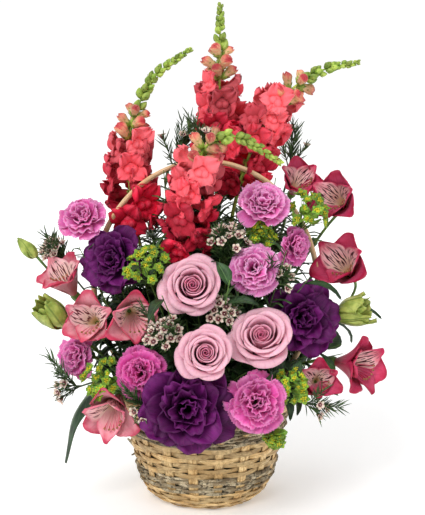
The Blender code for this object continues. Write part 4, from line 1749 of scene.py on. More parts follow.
@dataclass
class LisianthusBud(Flower):
    """A green lisianthus bud: petals wrapped in a twist, with narrow sepals round them."""

    slot: str = "bud_green"
    leaves: int = 2
    leaf_cut: LeafCut = LeafCut.BLADE
    open_share: float = 0.0  # 0 is shut, 1 shows ruffled tips
    neck: int = 1

    def petal(self, share: float, turn: float) -> Grid:
        """One petal of the bud, which wraps its neighbour and ends in a point.

        Args:
            share: its place from the inside.
            turn: where it stands about the axis.

        Returns:
            Its points in the bud's own frame.
        """
        draw, opened = self.draw, self.open_share
        u = np.linspace(-1, 1, 13)[None, :]
        v = np.linspace(0, 1, 16)[:, None]
        shut = np.sin(np.clip(v, 0, 1) ** 0.85 * math.pi) ** 0.7 * (1 - 0.25 * v)
        flared = np.sin(np.clip(v / 0.62, 0, 1) * math.pi / 2) ** 0.8 * (1 + 0.12 * v**4)
        spread = 0.12 + (0.84 + 0.08 * share) * (
            shut * (1 - opened) + flared * opened
        ) * (0.62 + 0.38 * share)
        spread = spread + 0.07 * u + 0.05 * np.cos(3 * math.pi * u) * v
        spread = spread + opened * 0.09 * np.sin(5 * u + draw.uniform(0, 6)) * v**3
        width = math.radians(66 - 20 * opened) * (0.35 + 0.65 * np.sin(np.clip(v / 0.5, 0, 1) * math.pi / 2))
        angle = turn + u * width + v * math.radians(70 - 40 * opened)
        point = 1 - (0.14 + 0.20 * opened) * np.abs(u) ** 1.3 * v
        height = -1.3 + (3.5 - 0.9 * opened) * v * point * draw.uniform(0.94, 1.04)
        height = height + opened * 0.12 * np.sin(8 * u + draw.uniform(0, 6)) * v**4
        points = np.stack(
            (spread * np.cos(angle), spread * np.sin(angle), height * np.ones_like(u)), axis=-1
        )
        return points * self.radius

    def bloom(self) -> bpy.types.Object:
        """The wrapped petals and the sepals."""
        growth, radius, draw = Growth(), self.radius, self.draw
        for number in range(8):
            grid = self.petal(number / 7, number * GOLDEN_TURN)
            growth.sheet(self.bearing.place(grid), draw.uniform(0.2, 0.9), 0.5 * MM)
        for number in range(5):
            sepal = Petal(
                1.9 * radius, 0.34 * radius, 44, -62, 0.7, cup=30, claw=0.9, tip=0.04, belly=0.3, rows=9,
                cols=5
            )
            grid = sepal.grid(draw, number * math.tau / 5, 0.2 * radius, -1.32 * radius)
            growth.sheet(self.bearing.place(grid), draw.uniform(0.0, 0.3), 0.5 * MM, 1)
        return growth.piece(f"{self.name}_bloom", (BUD_GREEN, SPIKE_GREEN))


# --------------------------------------------------------------------------------------------------
# Carnations


@dataclass
class Carnation(Flower):
    """A mini carnation: broad toothed petals round a crumpled heart, out of a green calyx."""

    slot: str = "carnation_petal"
    fullness: float = 1.12
    leaf_cut: LeafCut = LeafCut.BLADE
    leaves: int = 6
    petals: int = 34
    magenta: float = 0.0
    neck: int = 1

    def petal(self, share: float) -> Petal:
        """The cut of one petal.

        Args:
            share: its place from the heart, 0, to the outside, 1.

        Returns:
            A narrow crumpled petal inside, a broad open one outside.
        """
        draw, radius = self.draw, self.radius
        length = radius * (0.80 + 0.24 * share) * draw.uniform(0.9, 1.08)
        return Petal(
            length, radius * (0.62 + 0.34 * share) * draw.uniform(0.85, 1.15),
            2 + 70 * share**0.9 + draw.uniform(-9, 9), 8 + 26 * share + draw.uniform(-8, 12), 1.6,
            cup=draw.uniform(0, 70 - 46 * share), claw=0.10, tip=0.95, belly=0.88, rounding=0.12,
            ruffle=draw.uniform(0.09, 0.15) - 0.05 * share, waves=draw.uniform(1.4, 2.8),
            teeth=0.05, tooth_count=draw.uniform(9, 13), crumple=0.055 - 0.03 * share, rows=10, cols=21,
        )

    def bloom(self) -> bpy.types.Object:
        """Every petal, and the toothed calyx."""
        growth, radius, draw = Growth(), self.radius, self.draw
        for number in range(self.petals):
            share = number / (self.petals - 1)
            grid = self.petal(share).grid(draw, number * GOLDEN_TURN, 0.06 * radius, -0.46 * radius)
            cast = min(1.0, self.magenta + draw.uniform(0, 0.25))
            growth.sheet(self.bearing.place(grid), draw.random(), 0.45 * MM, cast=cast)
        outline = ((-1.42, 0.10), (-1.34, 0.20), (-1.2, 0.25), (-0.8, 0.27), (-0.45, 0.29))
        places = self.bearing.place(np.array([(0, 0, z * radius) for z, _ in outline]))
        growth.tube(places, np.array([share for _, share in outline]) * radius, 10, part=1)
        for number in range(5):
            tooth = Petal(
                0.34 * radius, 0.28 * radius, 6, 22, cup=30, claw=0.9, tip=0.05, belly=0.15, rows=4,
                cols=5
            )
            grid = tooth.grid(draw, number * math.tau / 5, 0.26 * radius, -0.52 * radius)
            growth.sheet(self.bearing.place(grid), 0.6, 0.5 * MM, 1)
        return growth.piece(f"{self.name}_bloom", (CARNATION, STALK))


# --------------------------------------------------------------------------------------------------
# Alstroemerias


class Tint(Enum):
    """The two kinds of alstroemeria: the finishes of their outer and inner tepals."""

    CRIMSON = (CRIMSON_TEPAL, CRIMSON_INNER)
    PINK = (PINK_TEPAL, PINK_INNER)


@dataclass
class Alstroemeria(Flower):
    """A Peruvian lily: three broad outer tepals, three narrow streaked inner ones, six stamens."""

    slot: str = "alstroemeria_petal"
    widest_at: float = 0.18
    fullness: float = 1.3
    tint: Tint = Tint.CRIMSON
    roll: float = 0.0  # degrees that the bloom is turned about its own axis
    openness: float = 1.0
    neck: int = 1

    def tepal(self, number: int) -> Petal:
        """The cut of one tepal: even numbers are the broad outer ones, odd the inner."""
        draw, radius = self.draw, self.radius
        if number % 2 == 0:
            return Petal(
                radius * 1.62 * draw.uniform(0.92, 1.06), radius * draw.uniform(1.18, 1.36), 22,
                44 * self.openness * draw.uniform(0.6, 1.3), 1.8, cup=52, claw=0.16, tip=0.56, belly=0.72,
                rounding=0.16, ruffle=0.05, waves=draw.uniform(1.2, 2.4), keel=0.06, rows=14, cols=14,
            )
        return Petal(
            radius * 1.66 * draw.uniform(0.92, 1.06), radius * draw.uniform(0.86, 1.0), 16,
            46 * self.openness * draw.uniform(0.6, 1.3), 1.8, cup=40, claw=0.14, tip=0.34, belly=0.68,
            rounding=0.12, ruffle=0.04, waves=draw.uniform(1.2, 2.4), keel=0.12, rows=14, cols=12,
        )

    def bloom(self) -> bpy.types.Object:
        """The tepals, the stamens and the green ovary."""
        growth, radius, draw = Growth(), self.radius, self.draw
        foot = -1.0 * radius
        for number in range(6):
            turn = math.radians(90 + 60 * number + self.roll + draw.uniform(-7, 7))
            grid = self.tepal(number).grid(draw, turn, (0.05 + 0.06 * (number % 2 == 0)) * radius, foot)
            growth.sheet(self.bearing.place(grid), draw.random(), 0.6 * MM, int(number in (1, 5)))
        for number in range(6):
            turn = math.radians(250 + 20 * number + self.roll)
            reach = np.linspace(0, 1, 9)[:, None]
            aside = np.array((math.cos(turn), math.sin(turn), 0.0)) * radius * (0.08 + 0.34 * reach**2)
            line = aside + np.array((0, 0, 1.0)) * (foot + radius * 1.2 * reach)
            growth.tube(self.bearing.place(line), 0.55 * MM, 5, part=2)
            anther = np.array(
                [line[-1] + np.array((0, 0.0, 1.0)) * step * MM for step in (-1.4, -0.7, 0.9, 1.8)]
            )
            growth.tube(self.bearing.place(anther), np.array((0.5, 1.2, 1.2, 0.4)) * MM, 6, 0.3, 3)
        ovary = self.bearing.place(np.array([(0, 0, z * radius) for z in (-1.32, -1.22, -1.08, -0.92)]))
        growth.tube(ovary, np.array((0.09, 0.16, 0.19, 0.13)) * radius, 8, part=4)
        outside, inside = self.tint.value
        return growth.piece(f"{self.name}_bloom", (outside, inside, outside, ANTHER, STALK))


# --------------------------------------------------------------------------------------------------
# Snapdragons


@dataclass
class Snapdragon(Flower):
    """A snapdragon spike: open florets low down, buds that colour above, green tips at the end."""

    slot: str = "snapdragon_petal"
    solid: ClassVar[bool] = False
    leaves: int = 7
    whorl_pitch: float = 12.0 * MM
    half_open_zone: float = 34 * MM
    half_open_pitch: float = 12 * MM
    floret_size: float = 1.0
    neck: int = 7
    steps: ClassVar[int] = 12  # points made from each ring of the stem to the next
    cover: ClassVar[float] = 26 * MM  # how near a spike's line a blade would hide it
    hoop_room: ClassVar[float] = 10 * MM  # room that florets leave about the handle's line
    spines: ClassVar[list[Grid]] = []  # the line of every spike, which blades don't cover

    def __post_init__(self) -> None:
        """Reads the stem and measures along it."""
        super().__post_init__()
        self.line = smooth_line(self.stem.line, self.steps)
        self.runs = run_lengths(self.line)
        self.first, self.last = (
            float(self.runs[ring * self.steps]) for ring in (STEM_RINGS, STEM_RINGS + 4)
        )
        Snapdragon.spines.append(self.line[STEM_RINGS * self.steps:])

    @classmethod
    def shows(cls, point: np.ndarray) -> bool:
        """Whether a point leaves every spike in plain sight from the front."""
        for line in cls.spines:
            near = np.hypot(*(line - point)[:, ::2].T) < cls.cover
            if np.any(near & (line[:, 1] > point[1])):
                return False
        return True

    def floret(self, name: str) -> Growth:
        """One open floret, 35 mm tall: a tube, two lobes that stand back, a palate, three lower lobes."""
        growth, draw = Growth(), chance(name)
        z = np.array((0.0, 3.0, 9.0, 15.0, 19.0)) * MM
        tube = np.stack((np.zeros(5), -0.06 * z, z), axis=1)
        growth.tube(tube, np.array((1.6, 4.4, 5.2, 6.2, 5.4)) * MM, 8)
        for side in (-1, 1):
            lobe = Petal(
                draw.uniform(21, 26) * MM, draw.uniform(20, 24) * MM, 4, draw.uniform(66, 116), 1.4,
                cup=draw.uniform(-34, 14), claw=0.45, tip=draw.uniform(0.16, 0.36), belly=0.6, rounding=0.05,
                ruffle=draw.uniform(0.17, 0.27), waves=draw.uniform(1.6, 3.0), crumple=0.05, rows=9, cols=11,
            )
            turn = math.radians(90 - side * draw.uniform(34, 44))
            growth.sheet(lobe.grid(draw, turn, 4.0 * MM, 11 * MM), draw.random(), 0.6 * MM)
        for turn, size in ((-90, 0.85), (-142, 1.0), (-38, 1.0)):
            lobe = Petal(
                draw.uniform(16, 20) * MM * size, draw.uniform(15, 19) * MM * size, 24,
                draw.uniform(84, 130), 1.1,
                cup=draw.uniform(-34, 4), claw=0.5, tip=draw.uniform(0.16, 0.36), belly=0.58, rounding=0.05,
                ruffle=draw.uniform(0.15, 0.25), waves=draw.uniform(1.6, 3.0), crumple=0.05, rows=8, cols=9,
            )
            place = math.radians(turn + draw.uniform(-8, 8))
            growth.sheet(lobe.grid(draw, place, 4.2 * MM, 13 * MM), draw.random(), 0.6 * MM)
        for side in (-1, 1):
            place = np.array((side * 3.4, -2.6, 0)) * MM
            bump = np.array([place + np.array((0, 0, step)) * MM for step in (12, 14, 18, 21, 22.5)])
            growth.tube(bump, np.array((1.8, 4.6, 5.2, 3.6, 1.0)) * MM, 8)
        self.calyx(growth, draw, 7 * MM, 1.6 * MM)
        return growth

    @staticmethod
    def calyx(growth: Growth, draw: random.Random, length: float, foot: float) -> None:
        """Adds the five green sepals that hold a floret or a bud."""
        sepal = Petal(length, 0.6 * length, 30, -20, cup=34, claw=0.9, tip=0.12, belly=0.3, rows=4, cols=3)
        for number in range(5):
            grid = sepal.grid(draw, number * math.tau / 5, foot, -0.4 * MM)
            growth.sheet(grid, draw.random(), 0.5 * MM, 1)

    def half_open(self, name: str) -> Growth:
        """A coloured bud, 20 mm long, with its lips still shut over its mouth."""
        growth, draw = Growth(), chance(name)
        z = np.linspace(0, 18 * MM, 9)
        line = np.stack((np.zeros(9), 0.9 * z**2 / 18 * draw.uniform(5, 9), z), axis=1)
        growth.tube(line, np.array((1.2, 3.0, 3.9, 4.1, 4.3, 5.0, 5.4, 4.6, 1.6)) * MM, 9)
        for side in (-1, 1):
            lobe = Petal(
                12 * MM, 9 * MM, 8, -88, 1.4, cup=36, claw=0.8, tip=0.6, ruffle=0.06, waves=2, rows=6, cols=6
            )
            growth.sheet(
                lobe.grid(draw, math.radians(90 - side * 42), 3.8 * MM, 9 * MM), draw.random(), 0.6 * MM
            )
        lip = Petal(9 * MM, 10 * MM, 24, -60, cup=44, claw=0.8, tip=0.7, ruffle=0.05, rows=5, cols=6)
        growth.sheet(lip.grid(draw, math.radians(-90), 3.4 * MM, 10 * MM), 0.5, 0.6 * MM)
        self.calyx(growth, draw, 9 * MM, 1.5 * MM)
        return growth

    def green_bud(self, name: str) -> Growth:
        """A tight green bud, 11 mm long, in its calyx."""
        growth, draw = Growth(), chance(name)
        z = np.linspace(0, 10.5 * MM, 7)
        line = np.stack((np.zeros(7), 0.03 * z**2 / MM, z), axis=1)
        growth.tube(line, np.array((1.4, 3.1, 3.9, 3.9, 3.4, 2.3, 0.6)) * MM, 7)
        sepal = Petal(8 * MM, 4.6 * MM, 34, -46, cup=34, claw=0.9, tip=0.12, belly=0.3, rows=4, cols=3)
        for number in range(5):
            growth.sheet(sepal.grid(draw, number * math.tau / 5, 1.2 * MM, -0.4 * MM), 0.6, 0.5 * MM, 1)
        return growth

    def whorl(
        self, stand: Stand, here: float, number: int, count: int, size: float, rise: float, cast: float
    ) -> None:
        """Stands one ring of florets or buds round the stem.

        Args:
            stand: what the points are added to.
            here: the distance along the stem.
            number: the whorl's number, which turns it.
            count: how many stand in it.
            size: their scale.
            rise: how far they lean up the stem.
            cast: how far they take the paler colour.
        """
        place, ahead, before = (
            np.array([np.interp(here + step, self.runs, self.line[:, axis]) for axis in range(3)])
            for step in (0.0, 4 * MM, -4 * MM)
        )
        along = unit(ahead - before)
        right = unit(np.cross(along, np.array((0.0, -1.0, 0.15))))
        for step in range(count):
            angle = math.tau * step / count + number * 1.2 + self.draw.uniform(-0.3, 0.3)
            for _ in range(8):
                outward = math.cos(angle) * right + math.sin(angle) * np.cross(along, right)
                reach = place + outward * np.linspace(8, 21, 4)[:, None] * MM * size
                if np.linalg.norm(Basket.hoop_line[:, None] - reach, axis=2).min() > self.hoop_room:
                    break
                angle += 0.25
            shift = along * self.draw.uniform(-3, 3) * MM * size
            facing = unit(outward + along * (rise + self.draw.uniform(-0.18, 0.18)))
            stand.add(
                place + shift + outward * 1.5 * MM * size, facing, np.cross(along, facing),
                size * self.draw.uniform(0.88, 1.1), self.draw.randrange(len(stand.shapes)),
                self.draw.random(), min(0.9, max(0.0, cast + self.draw.uniform(-0.1, 0.1))),
            )

    def bloom(self) -> bpy.types.Object:
        """Every open floret, in whorls up the stem."""
        stand = Stand([self.floret(f"floret_{letter}") for letter in "abcd"])
        top = self.last - self.half_open_zone
        count = max(3, round((top - self.first) / self.whorl_pitch))
        for number in range(count):
            share = number / (count - 1)
            here = self.first + 6 * MM + (top - self.first - 6 * MM) * share
            size = self.floret_size * (1.0 - 0.16 * share)
            self.whorl(stand, here, number, 3, size, -0.12 + 0.45 * share, 1.1 * (share - 0.26))
        return stand.piece(f"{self.name}_florets", (SNAPDRAGON, SPIKE_GREEN))

    def foliage(self) -> bpy.types.Object:
        """The buds above the bloom, and the leaves below it."""
        half = Stand([self.half_open(f"half_open_{letter}") for letter in "abc"])
        green = Stand([self.green_bud(f"green_bud_{letter}") for letter in "ab"])
        start, number = self.last - self.half_open_zone + 9 * MM, 0
        while start + number * self.half_open_pitch < self.last + 4 * MM:
            here = start + number * self.half_open_pitch
            share = (here - start) / self.half_open_zone
            self.whorl(half, here, number, 3, 1.2 - 0.35 * share, 0.75, 1.2 * share - 0.2)
            number += 1
        here, number = start + (number - 0.2) * self.half_open_pitch, 0
        while here < self.runs[-1] - 1 * MM:
            share = (self.runs[-1] - here) / (self.runs[-1] - self.last)
            self.whorl(green, here, number, 3, 0.36 + 0.74 * min(1.0, share), 0.95, 0.0)
            here += (3.2 + 6.0 * share) * MM
            number += 1
        fit(half.piece(f"{self.name}_half_open_buds", (SNAPDRAGON_BUD, SPIKE_GREEN)), self.slot, self.name)
        fit(green.piece(f"{self.name}_green_buds", (SPIKE_GREEN, SPIKE_GREEN)), "bud_green", self.name)
        return super().foliage()

    def stalk(self) -> bpy.types.Object:
        """The whole stem, which thins to the tip of the spike."""
        line = smooth_line(self.stem.line, 6)
        thick = float(self.stem.radii[0])
        growth = Growth()
        growth.tube(line, thick * (1 - 0.72 * np.linspace(0, 1, len(line)) ** 1.5), 8, 0.8)
        return growth.piece(f"{self.name}_stalk", (SPIKE_GREEN,))


# --------------------------------------------------------------------------------------------------
# Fillers


@dataclass
class Sprig(Flower):
    """A branched filler stem: what waxflower and bupleurum share."""

    widest_at: float = -0.8
    solid: ClassVar[bool] = False
    leaves: int = 0
    branches: int = 8
    spread: float = 1.7  # how far the branches reach aside, in radii of the head
    tall: float = 1.6  # how far they reach ahead, in radii of the head

    def branch_lines(self) -> list[Grid]:
        """The branches: each leaves the stem below the head and bends out to its own place."""
        low = self.stem.line[STEM_RINGS - 1]
        neck = self.stem.line[STEM_RINGS]
        lines = []
        for number in range(self.branches):
            angle = number * GOLDEN_TURN
            share = math.sqrt((number + 0.5) / self.branches)
            aside = self.spread * self.radius * share
            ahead = self.radius * (
                self.tall * (1 - 0.75 * share**2) + self.draw.uniform(-0.3, 0.3)
            ) - self.radius
            end = self.bearing.place(np.array((aside * math.cos(angle), aside * math.sin(angle), ahead)))
            start = low + (neck - low) * self.draw.uniform(0.5, 1.0)
            middle = start + (end - start) * 0.5 + self.stem.facing * self.radius * 0.35
            lines.append(smooth_line(np.array((start, middle, end)), 5))
        return lines

    def twigs(self, lines: list[Grid], thick: float, finish: Finish) -> bpy.types.Object:
        """The stem and its branches."""
        growth = Growth()
        line, radii = self.stem.stalk(STEM_RINGS + 1)
        growth.tube(line, np.minimum(radii, float(self.stem.radii[0])), 7, 0.4)
        for branch in lines:
            growth.tube(branch, np.linspace(thick, 0.45 * thick, len(branch)), 5, self.draw.random())
        return growth.piece(f"{self.name}_twigs", (finish,))


@dataclass
class Waxflower(Sprig):
    """A waxflower sprig: five round pale petals about a dark red cup, on twigs set with needles."""

    slot: str = "waxflower"
    branches: int = 9
    flower_size: float = 1.0
    needle_rows: int = 7
    shoots: int = 2  # leafy shoots that stand up beyond the flowers
    shoot_reach: float = 34 * MM

    def flower(self, name: str) -> Growth:
        """One flower, 11 mm across, facing Z."""
        growth, draw = Growth(), chance(name)
        for number in range(5):
            petal = Petal(
                4.0 * MM, 4.5 * MM, 52, 14, cup=26, claw=0.5, tip=0.62, belly=0.55, rounding=0.22,
                rows=4, cols=4
            )
            growth.sheet(petal.grid(draw, number * math.tau / 5, 2.0 * MM, 0.2 * MM), 0.5, 0.4 * MM)
        cup = np.array([(0, 0, z * MM) for z in (-3.6, -2.6, -0.6, 0.6, 0.9)])
        growth.tube(cup, np.array((0.5, 1.1, 2.2, 2.5, 1.9)) * MM, 8, part=1)
        pistil = np.array([(0, 0, z * MM) for z in (0.6, 1.2, 2.2)])
        growth.tube(pistil, np.array((0.8, 0.5, 0.35)) * MM, 4, part=0)
        return growth

    def needle(self) -> Growth:
        """One needle, 17 mm long, that grows along Z."""
        growth = Growth()
        line = np.array([(0.10 * z * z / 17, 0, z) for z in (0.0, 5.0, 11.0, 17.0)]) * MM
        growth.tube(line, np.array((0.5, 0.75, 0.65, 0.15)) * MM, 4)
        return growth

    def build(self) -> None:
        """Builds the flowers, twigs and needles."""
        lines = self.branch_lines()
        flowers = Stand([self.flower("wax_a"), self.flower("wax_b")])
        needles = Stand([self.needle()])
        for branch in lines:
            along = unit(branch[-1] - branch[-3])
            facing = unit(
                along + self.bearing.facing * 0.3 + np.array((0, -0.35, 0.15))
                + across(along, self.draw) * 0.35
            )
            flowers.add(
                branch[-1], facing, across(facing, self.draw), self.flower_size, self.draw.randrange(2),
                self.draw.random()
            )
        extra = []
        for _ in range(self.shoots):
            start = self.stem.line[STEM_RINGS]
            aside = across(self.bearing.facing, self.draw) * 0.45
            grows = unit(self.bearing.facing * 0.6 + UP * 0.5 + aside)
            reach = (self.radius * 2 + self.shoot_reach) * self.draw.uniform(0.8, 1.0)
            extra.append(
                smooth_line(np.array((start, start + grows * reach * 0.5, start + grows * reach)), 8)
            )
        for line in lines + extra:
            total = float(np.linalg.norm(line[-1] - line[0]))
            rows = self.needle_rows if total < 24 * MM else int(total / (3.4 * MM))
            for step in range(rows):
                here = line[int((len(line) - 1) * (0.25 + 0.72 * step / rows))]
                along = unit(line[-1] - line[0])
                for _ in range(2):
                    grows = unit(along + across(along, self.draw) * self.draw.uniform(0.5, 0.9))
                    needles.add(
                        here, grows, across(grows, self.draw), self.draw.uniform(0.55, 1.0), 0,
                        self.draw.random()
                    )
        fit(flowers.piece(f"{self.name}_flowers", (WAX_PETAL, WAX_HEART)), self.slot, self.name)
        fit(needles.piece(f"{self.name}_needles", (NEEDLE,)), "dark_leaf", self.name)
        fit(self.twigs(lines + extra, 0.8 * MM, NEEDLE), "dark_leaf", self.name)


@dataclass
class Bupleurum(Sprig):
    """A bupleurum sprig: lime umbels, each a star of round bracts about tiny yellow flowers."""

    slot: str = "bupleurum"
    branches: int = 15
    spread: float = 1.5
    tall: float = 1.9
    round_leaves: int = 3

    def umbel(self, name: str) -> Growth:
        """One umbel, 11 mm across, facing Z."""
        growth, draw = Growth(), chance(name)
        for number in range(5):
            bract = Petal(
                5.6 * MM, 4.6 * MM, 62, 14, cup=22, claw=0.4, tip=0.3, belly=0.5, rounding=0.12,
                keel=0.3, rows=4, cols=3
            )
            growth.sheet(
                bract.grid(draw, number * math.tau / 5 + draw.uniform(-0.2, 0.2), 0.7 * MM), 0.5,
                0.4 * MM
            )
        for number in range(7):
            place = 2.7 * MM * math.sqrt((number + 0.3) / 7) * spoke(number * GOLDEN_TURN)
            bead = np.array([place + np.array((0, 0, z * MM)) for z in (0.4, 1.9, 2.8)])
            growth.tube(bead, np.array((0.25, 1.0, 0.5)) * MM, 5, part=1)
        return growth

    def build(self) -> None:
        """Builds the umbels, twigs and round leaves."""
        lines = self.branch_lines()
        umbels = Stand([self.umbel("umbel_a"), self.umbel("umbel_b")])
        for branch in lines:
            along = unit(branch[-1] - branch[-3])
            for _ in range(2):
                facing = unit(along + np.array((0, -0.3, 0.2)) + across(along, self.draw) * 0.7)
                place = branch[-1] + across(along, self.draw) * self.draw.uniform(1, 4) * MM
                umbels.add(
                    place, facing, across(facing, self.draw), self.draw.uniform(0.75, 1.15),
                    self.draw.randrange(2), self.draw.random()
                )
        leaves = Stand([leaf_shape(17 * MM, 12 * MM, 40, "round_leaf", tip=0.3)])
        for number in range(self.round_leaves + 3):
            branch = lines[number % len(lines)]
            here = branch[len(branch) // 2]
            along = unit(branch[-1] - branch[0])
            grows = unit(along * 0.5 + across(along, self.draw))
            leaves.add(
                here, grows, across(grows, self.draw), self.draw.uniform(0.6, 1.1), 0, self.draw.random()
            )
        fit(umbels.piece(f"{self.name}_umbels", (UMBEL_LEAF, POLLEN)), self.slot, self.name)
        fit(leaves.piece(f"{self.name}_round_leaves", (UMBEL_LEAF,)), self.slot, self.name)
        fit(self.twigs(lines, 0.7 * MM, STALK), self.slot, self.name)


# --------------------------------------------------------------------------------------------------
# Foliage


@dataclass
class LongLeaf:
    """One long dark leaf that arches down: a folded blade along its own line, on a thin stalk."""

    name: str
    fullness: float = 1.6

    def build(self) -> None:
        """Builds the blade and its stalk."""
        stem = CutStem.read(self.name, sides=6)
        line = smooth_line(stem.line, 5)
        half = np.interp(np.linspace(0, 1, len(line)), np.linspace(0, 1, len(stem.radii)), stem.radii)
        first = STEM_RINGS * 5
        blade, half = line[first:], smooth_line(stem.radii[STEM_RINGS:, None], 5)[:, 0] * self.fullness
        side = np.sign(stem.broad[STEM_RINGS:] @ stem.broad[-2])[:, None]
        broad = unit(smooth_line(stem.broad[STEM_RINGS:] * side, 5))
        along = unit(np.gradient(blade, axis=0))
        normal = unit(np.cross(broad, along))
        u = np.linspace(-1, 1, 9)
        points = blade[:, None] + broad[:, None] * (u[:, None] * half[:, None, None])
        waves = 0.6 * MM * np.sin(np.linspace(0, 14, len(blade)))[:, None] * u**2
        fold = np.abs(u)[None, :] * half[:, None] * 0.28 + waves
        points = points + normal[:, None] * fold[..., None]
        growth = Growth()
        growth.sheet(points, 0.45, 0.7 * MM)
        growth.tube(line[: first + 3], 1.3 * MM, 7)
        fit(growth.piece(f"{self.name}_blade", (DARK_LEAF,)), "dark_leaf", self.name)


@dataclass
class LeafySpray:
    """A leafy stem at the back: pairs of pointed leaves up a thin stalk."""

    name: str
    leaf_length: float = 36 * MM
    leaf_width: float = 18 * MM
    pitch: float = 9 * MM

    def build(self) -> None:
        """Builds the stalk and its leaves."""
        stem, draw = CutStem.read(self.name, sides=6), chance(self.name)
        line = smooth_line(stem.line, 8)
        growth = Growth()
        growth.tube(line, np.linspace(1.5, 0.6, len(line)) * MM, 7)
        fit(growth.piece(f"{self.name}_stalk", (STALK,)), "dark_leaf", self.name)
        runs = run_lengths(line)
        stand = Stand([
            leaf_shape(self.leaf_length, self.leaf_width, 34, "spray_a"),
            leaf_shape(self.leaf_length * 0.85, self.leaf_width, 55, "spray_b"),
        ])
        here, number = runs[STEM_RINGS * 8 // 2], 0
        normal = unit(np.cross(stem.broad[-3], line[-1] - line[-9]))
        while here < runs[-1] - 6 * MM:
            step = int(np.searchsorted(runs, here))
            along = unit(line[min(step + 1, len(line) - 1)] - line[step - 1])
            aside = unit(stem.broad[-3] - along * (stem.broad[-3] @ along)) * (1 if number % 2 else -1)
            grows = unit(along * 0.75 + aside * draw.uniform(0.6, 1.0) + normal * draw.uniform(-0.35, 0.35))
            size = 0.62 + 0.35 * math.sin(
                math.pi * min(1.0, (here - runs[28]) / (runs[-1] - runs[28]) + 0.15)
            )
            stand.add(line[step], grows, normal, size, number % 2, draw.uniform(0.2, 0.9))
            here += self.pitch
            number += 1
        stand.add(line[-3], unit(line[-1] - line[-6]), normal, 0.6, 0, 0.6)
        fit(stand.piece(f"{self.name}_leaves", (DARK_LEAF,)), "dark_leaf", self.name)


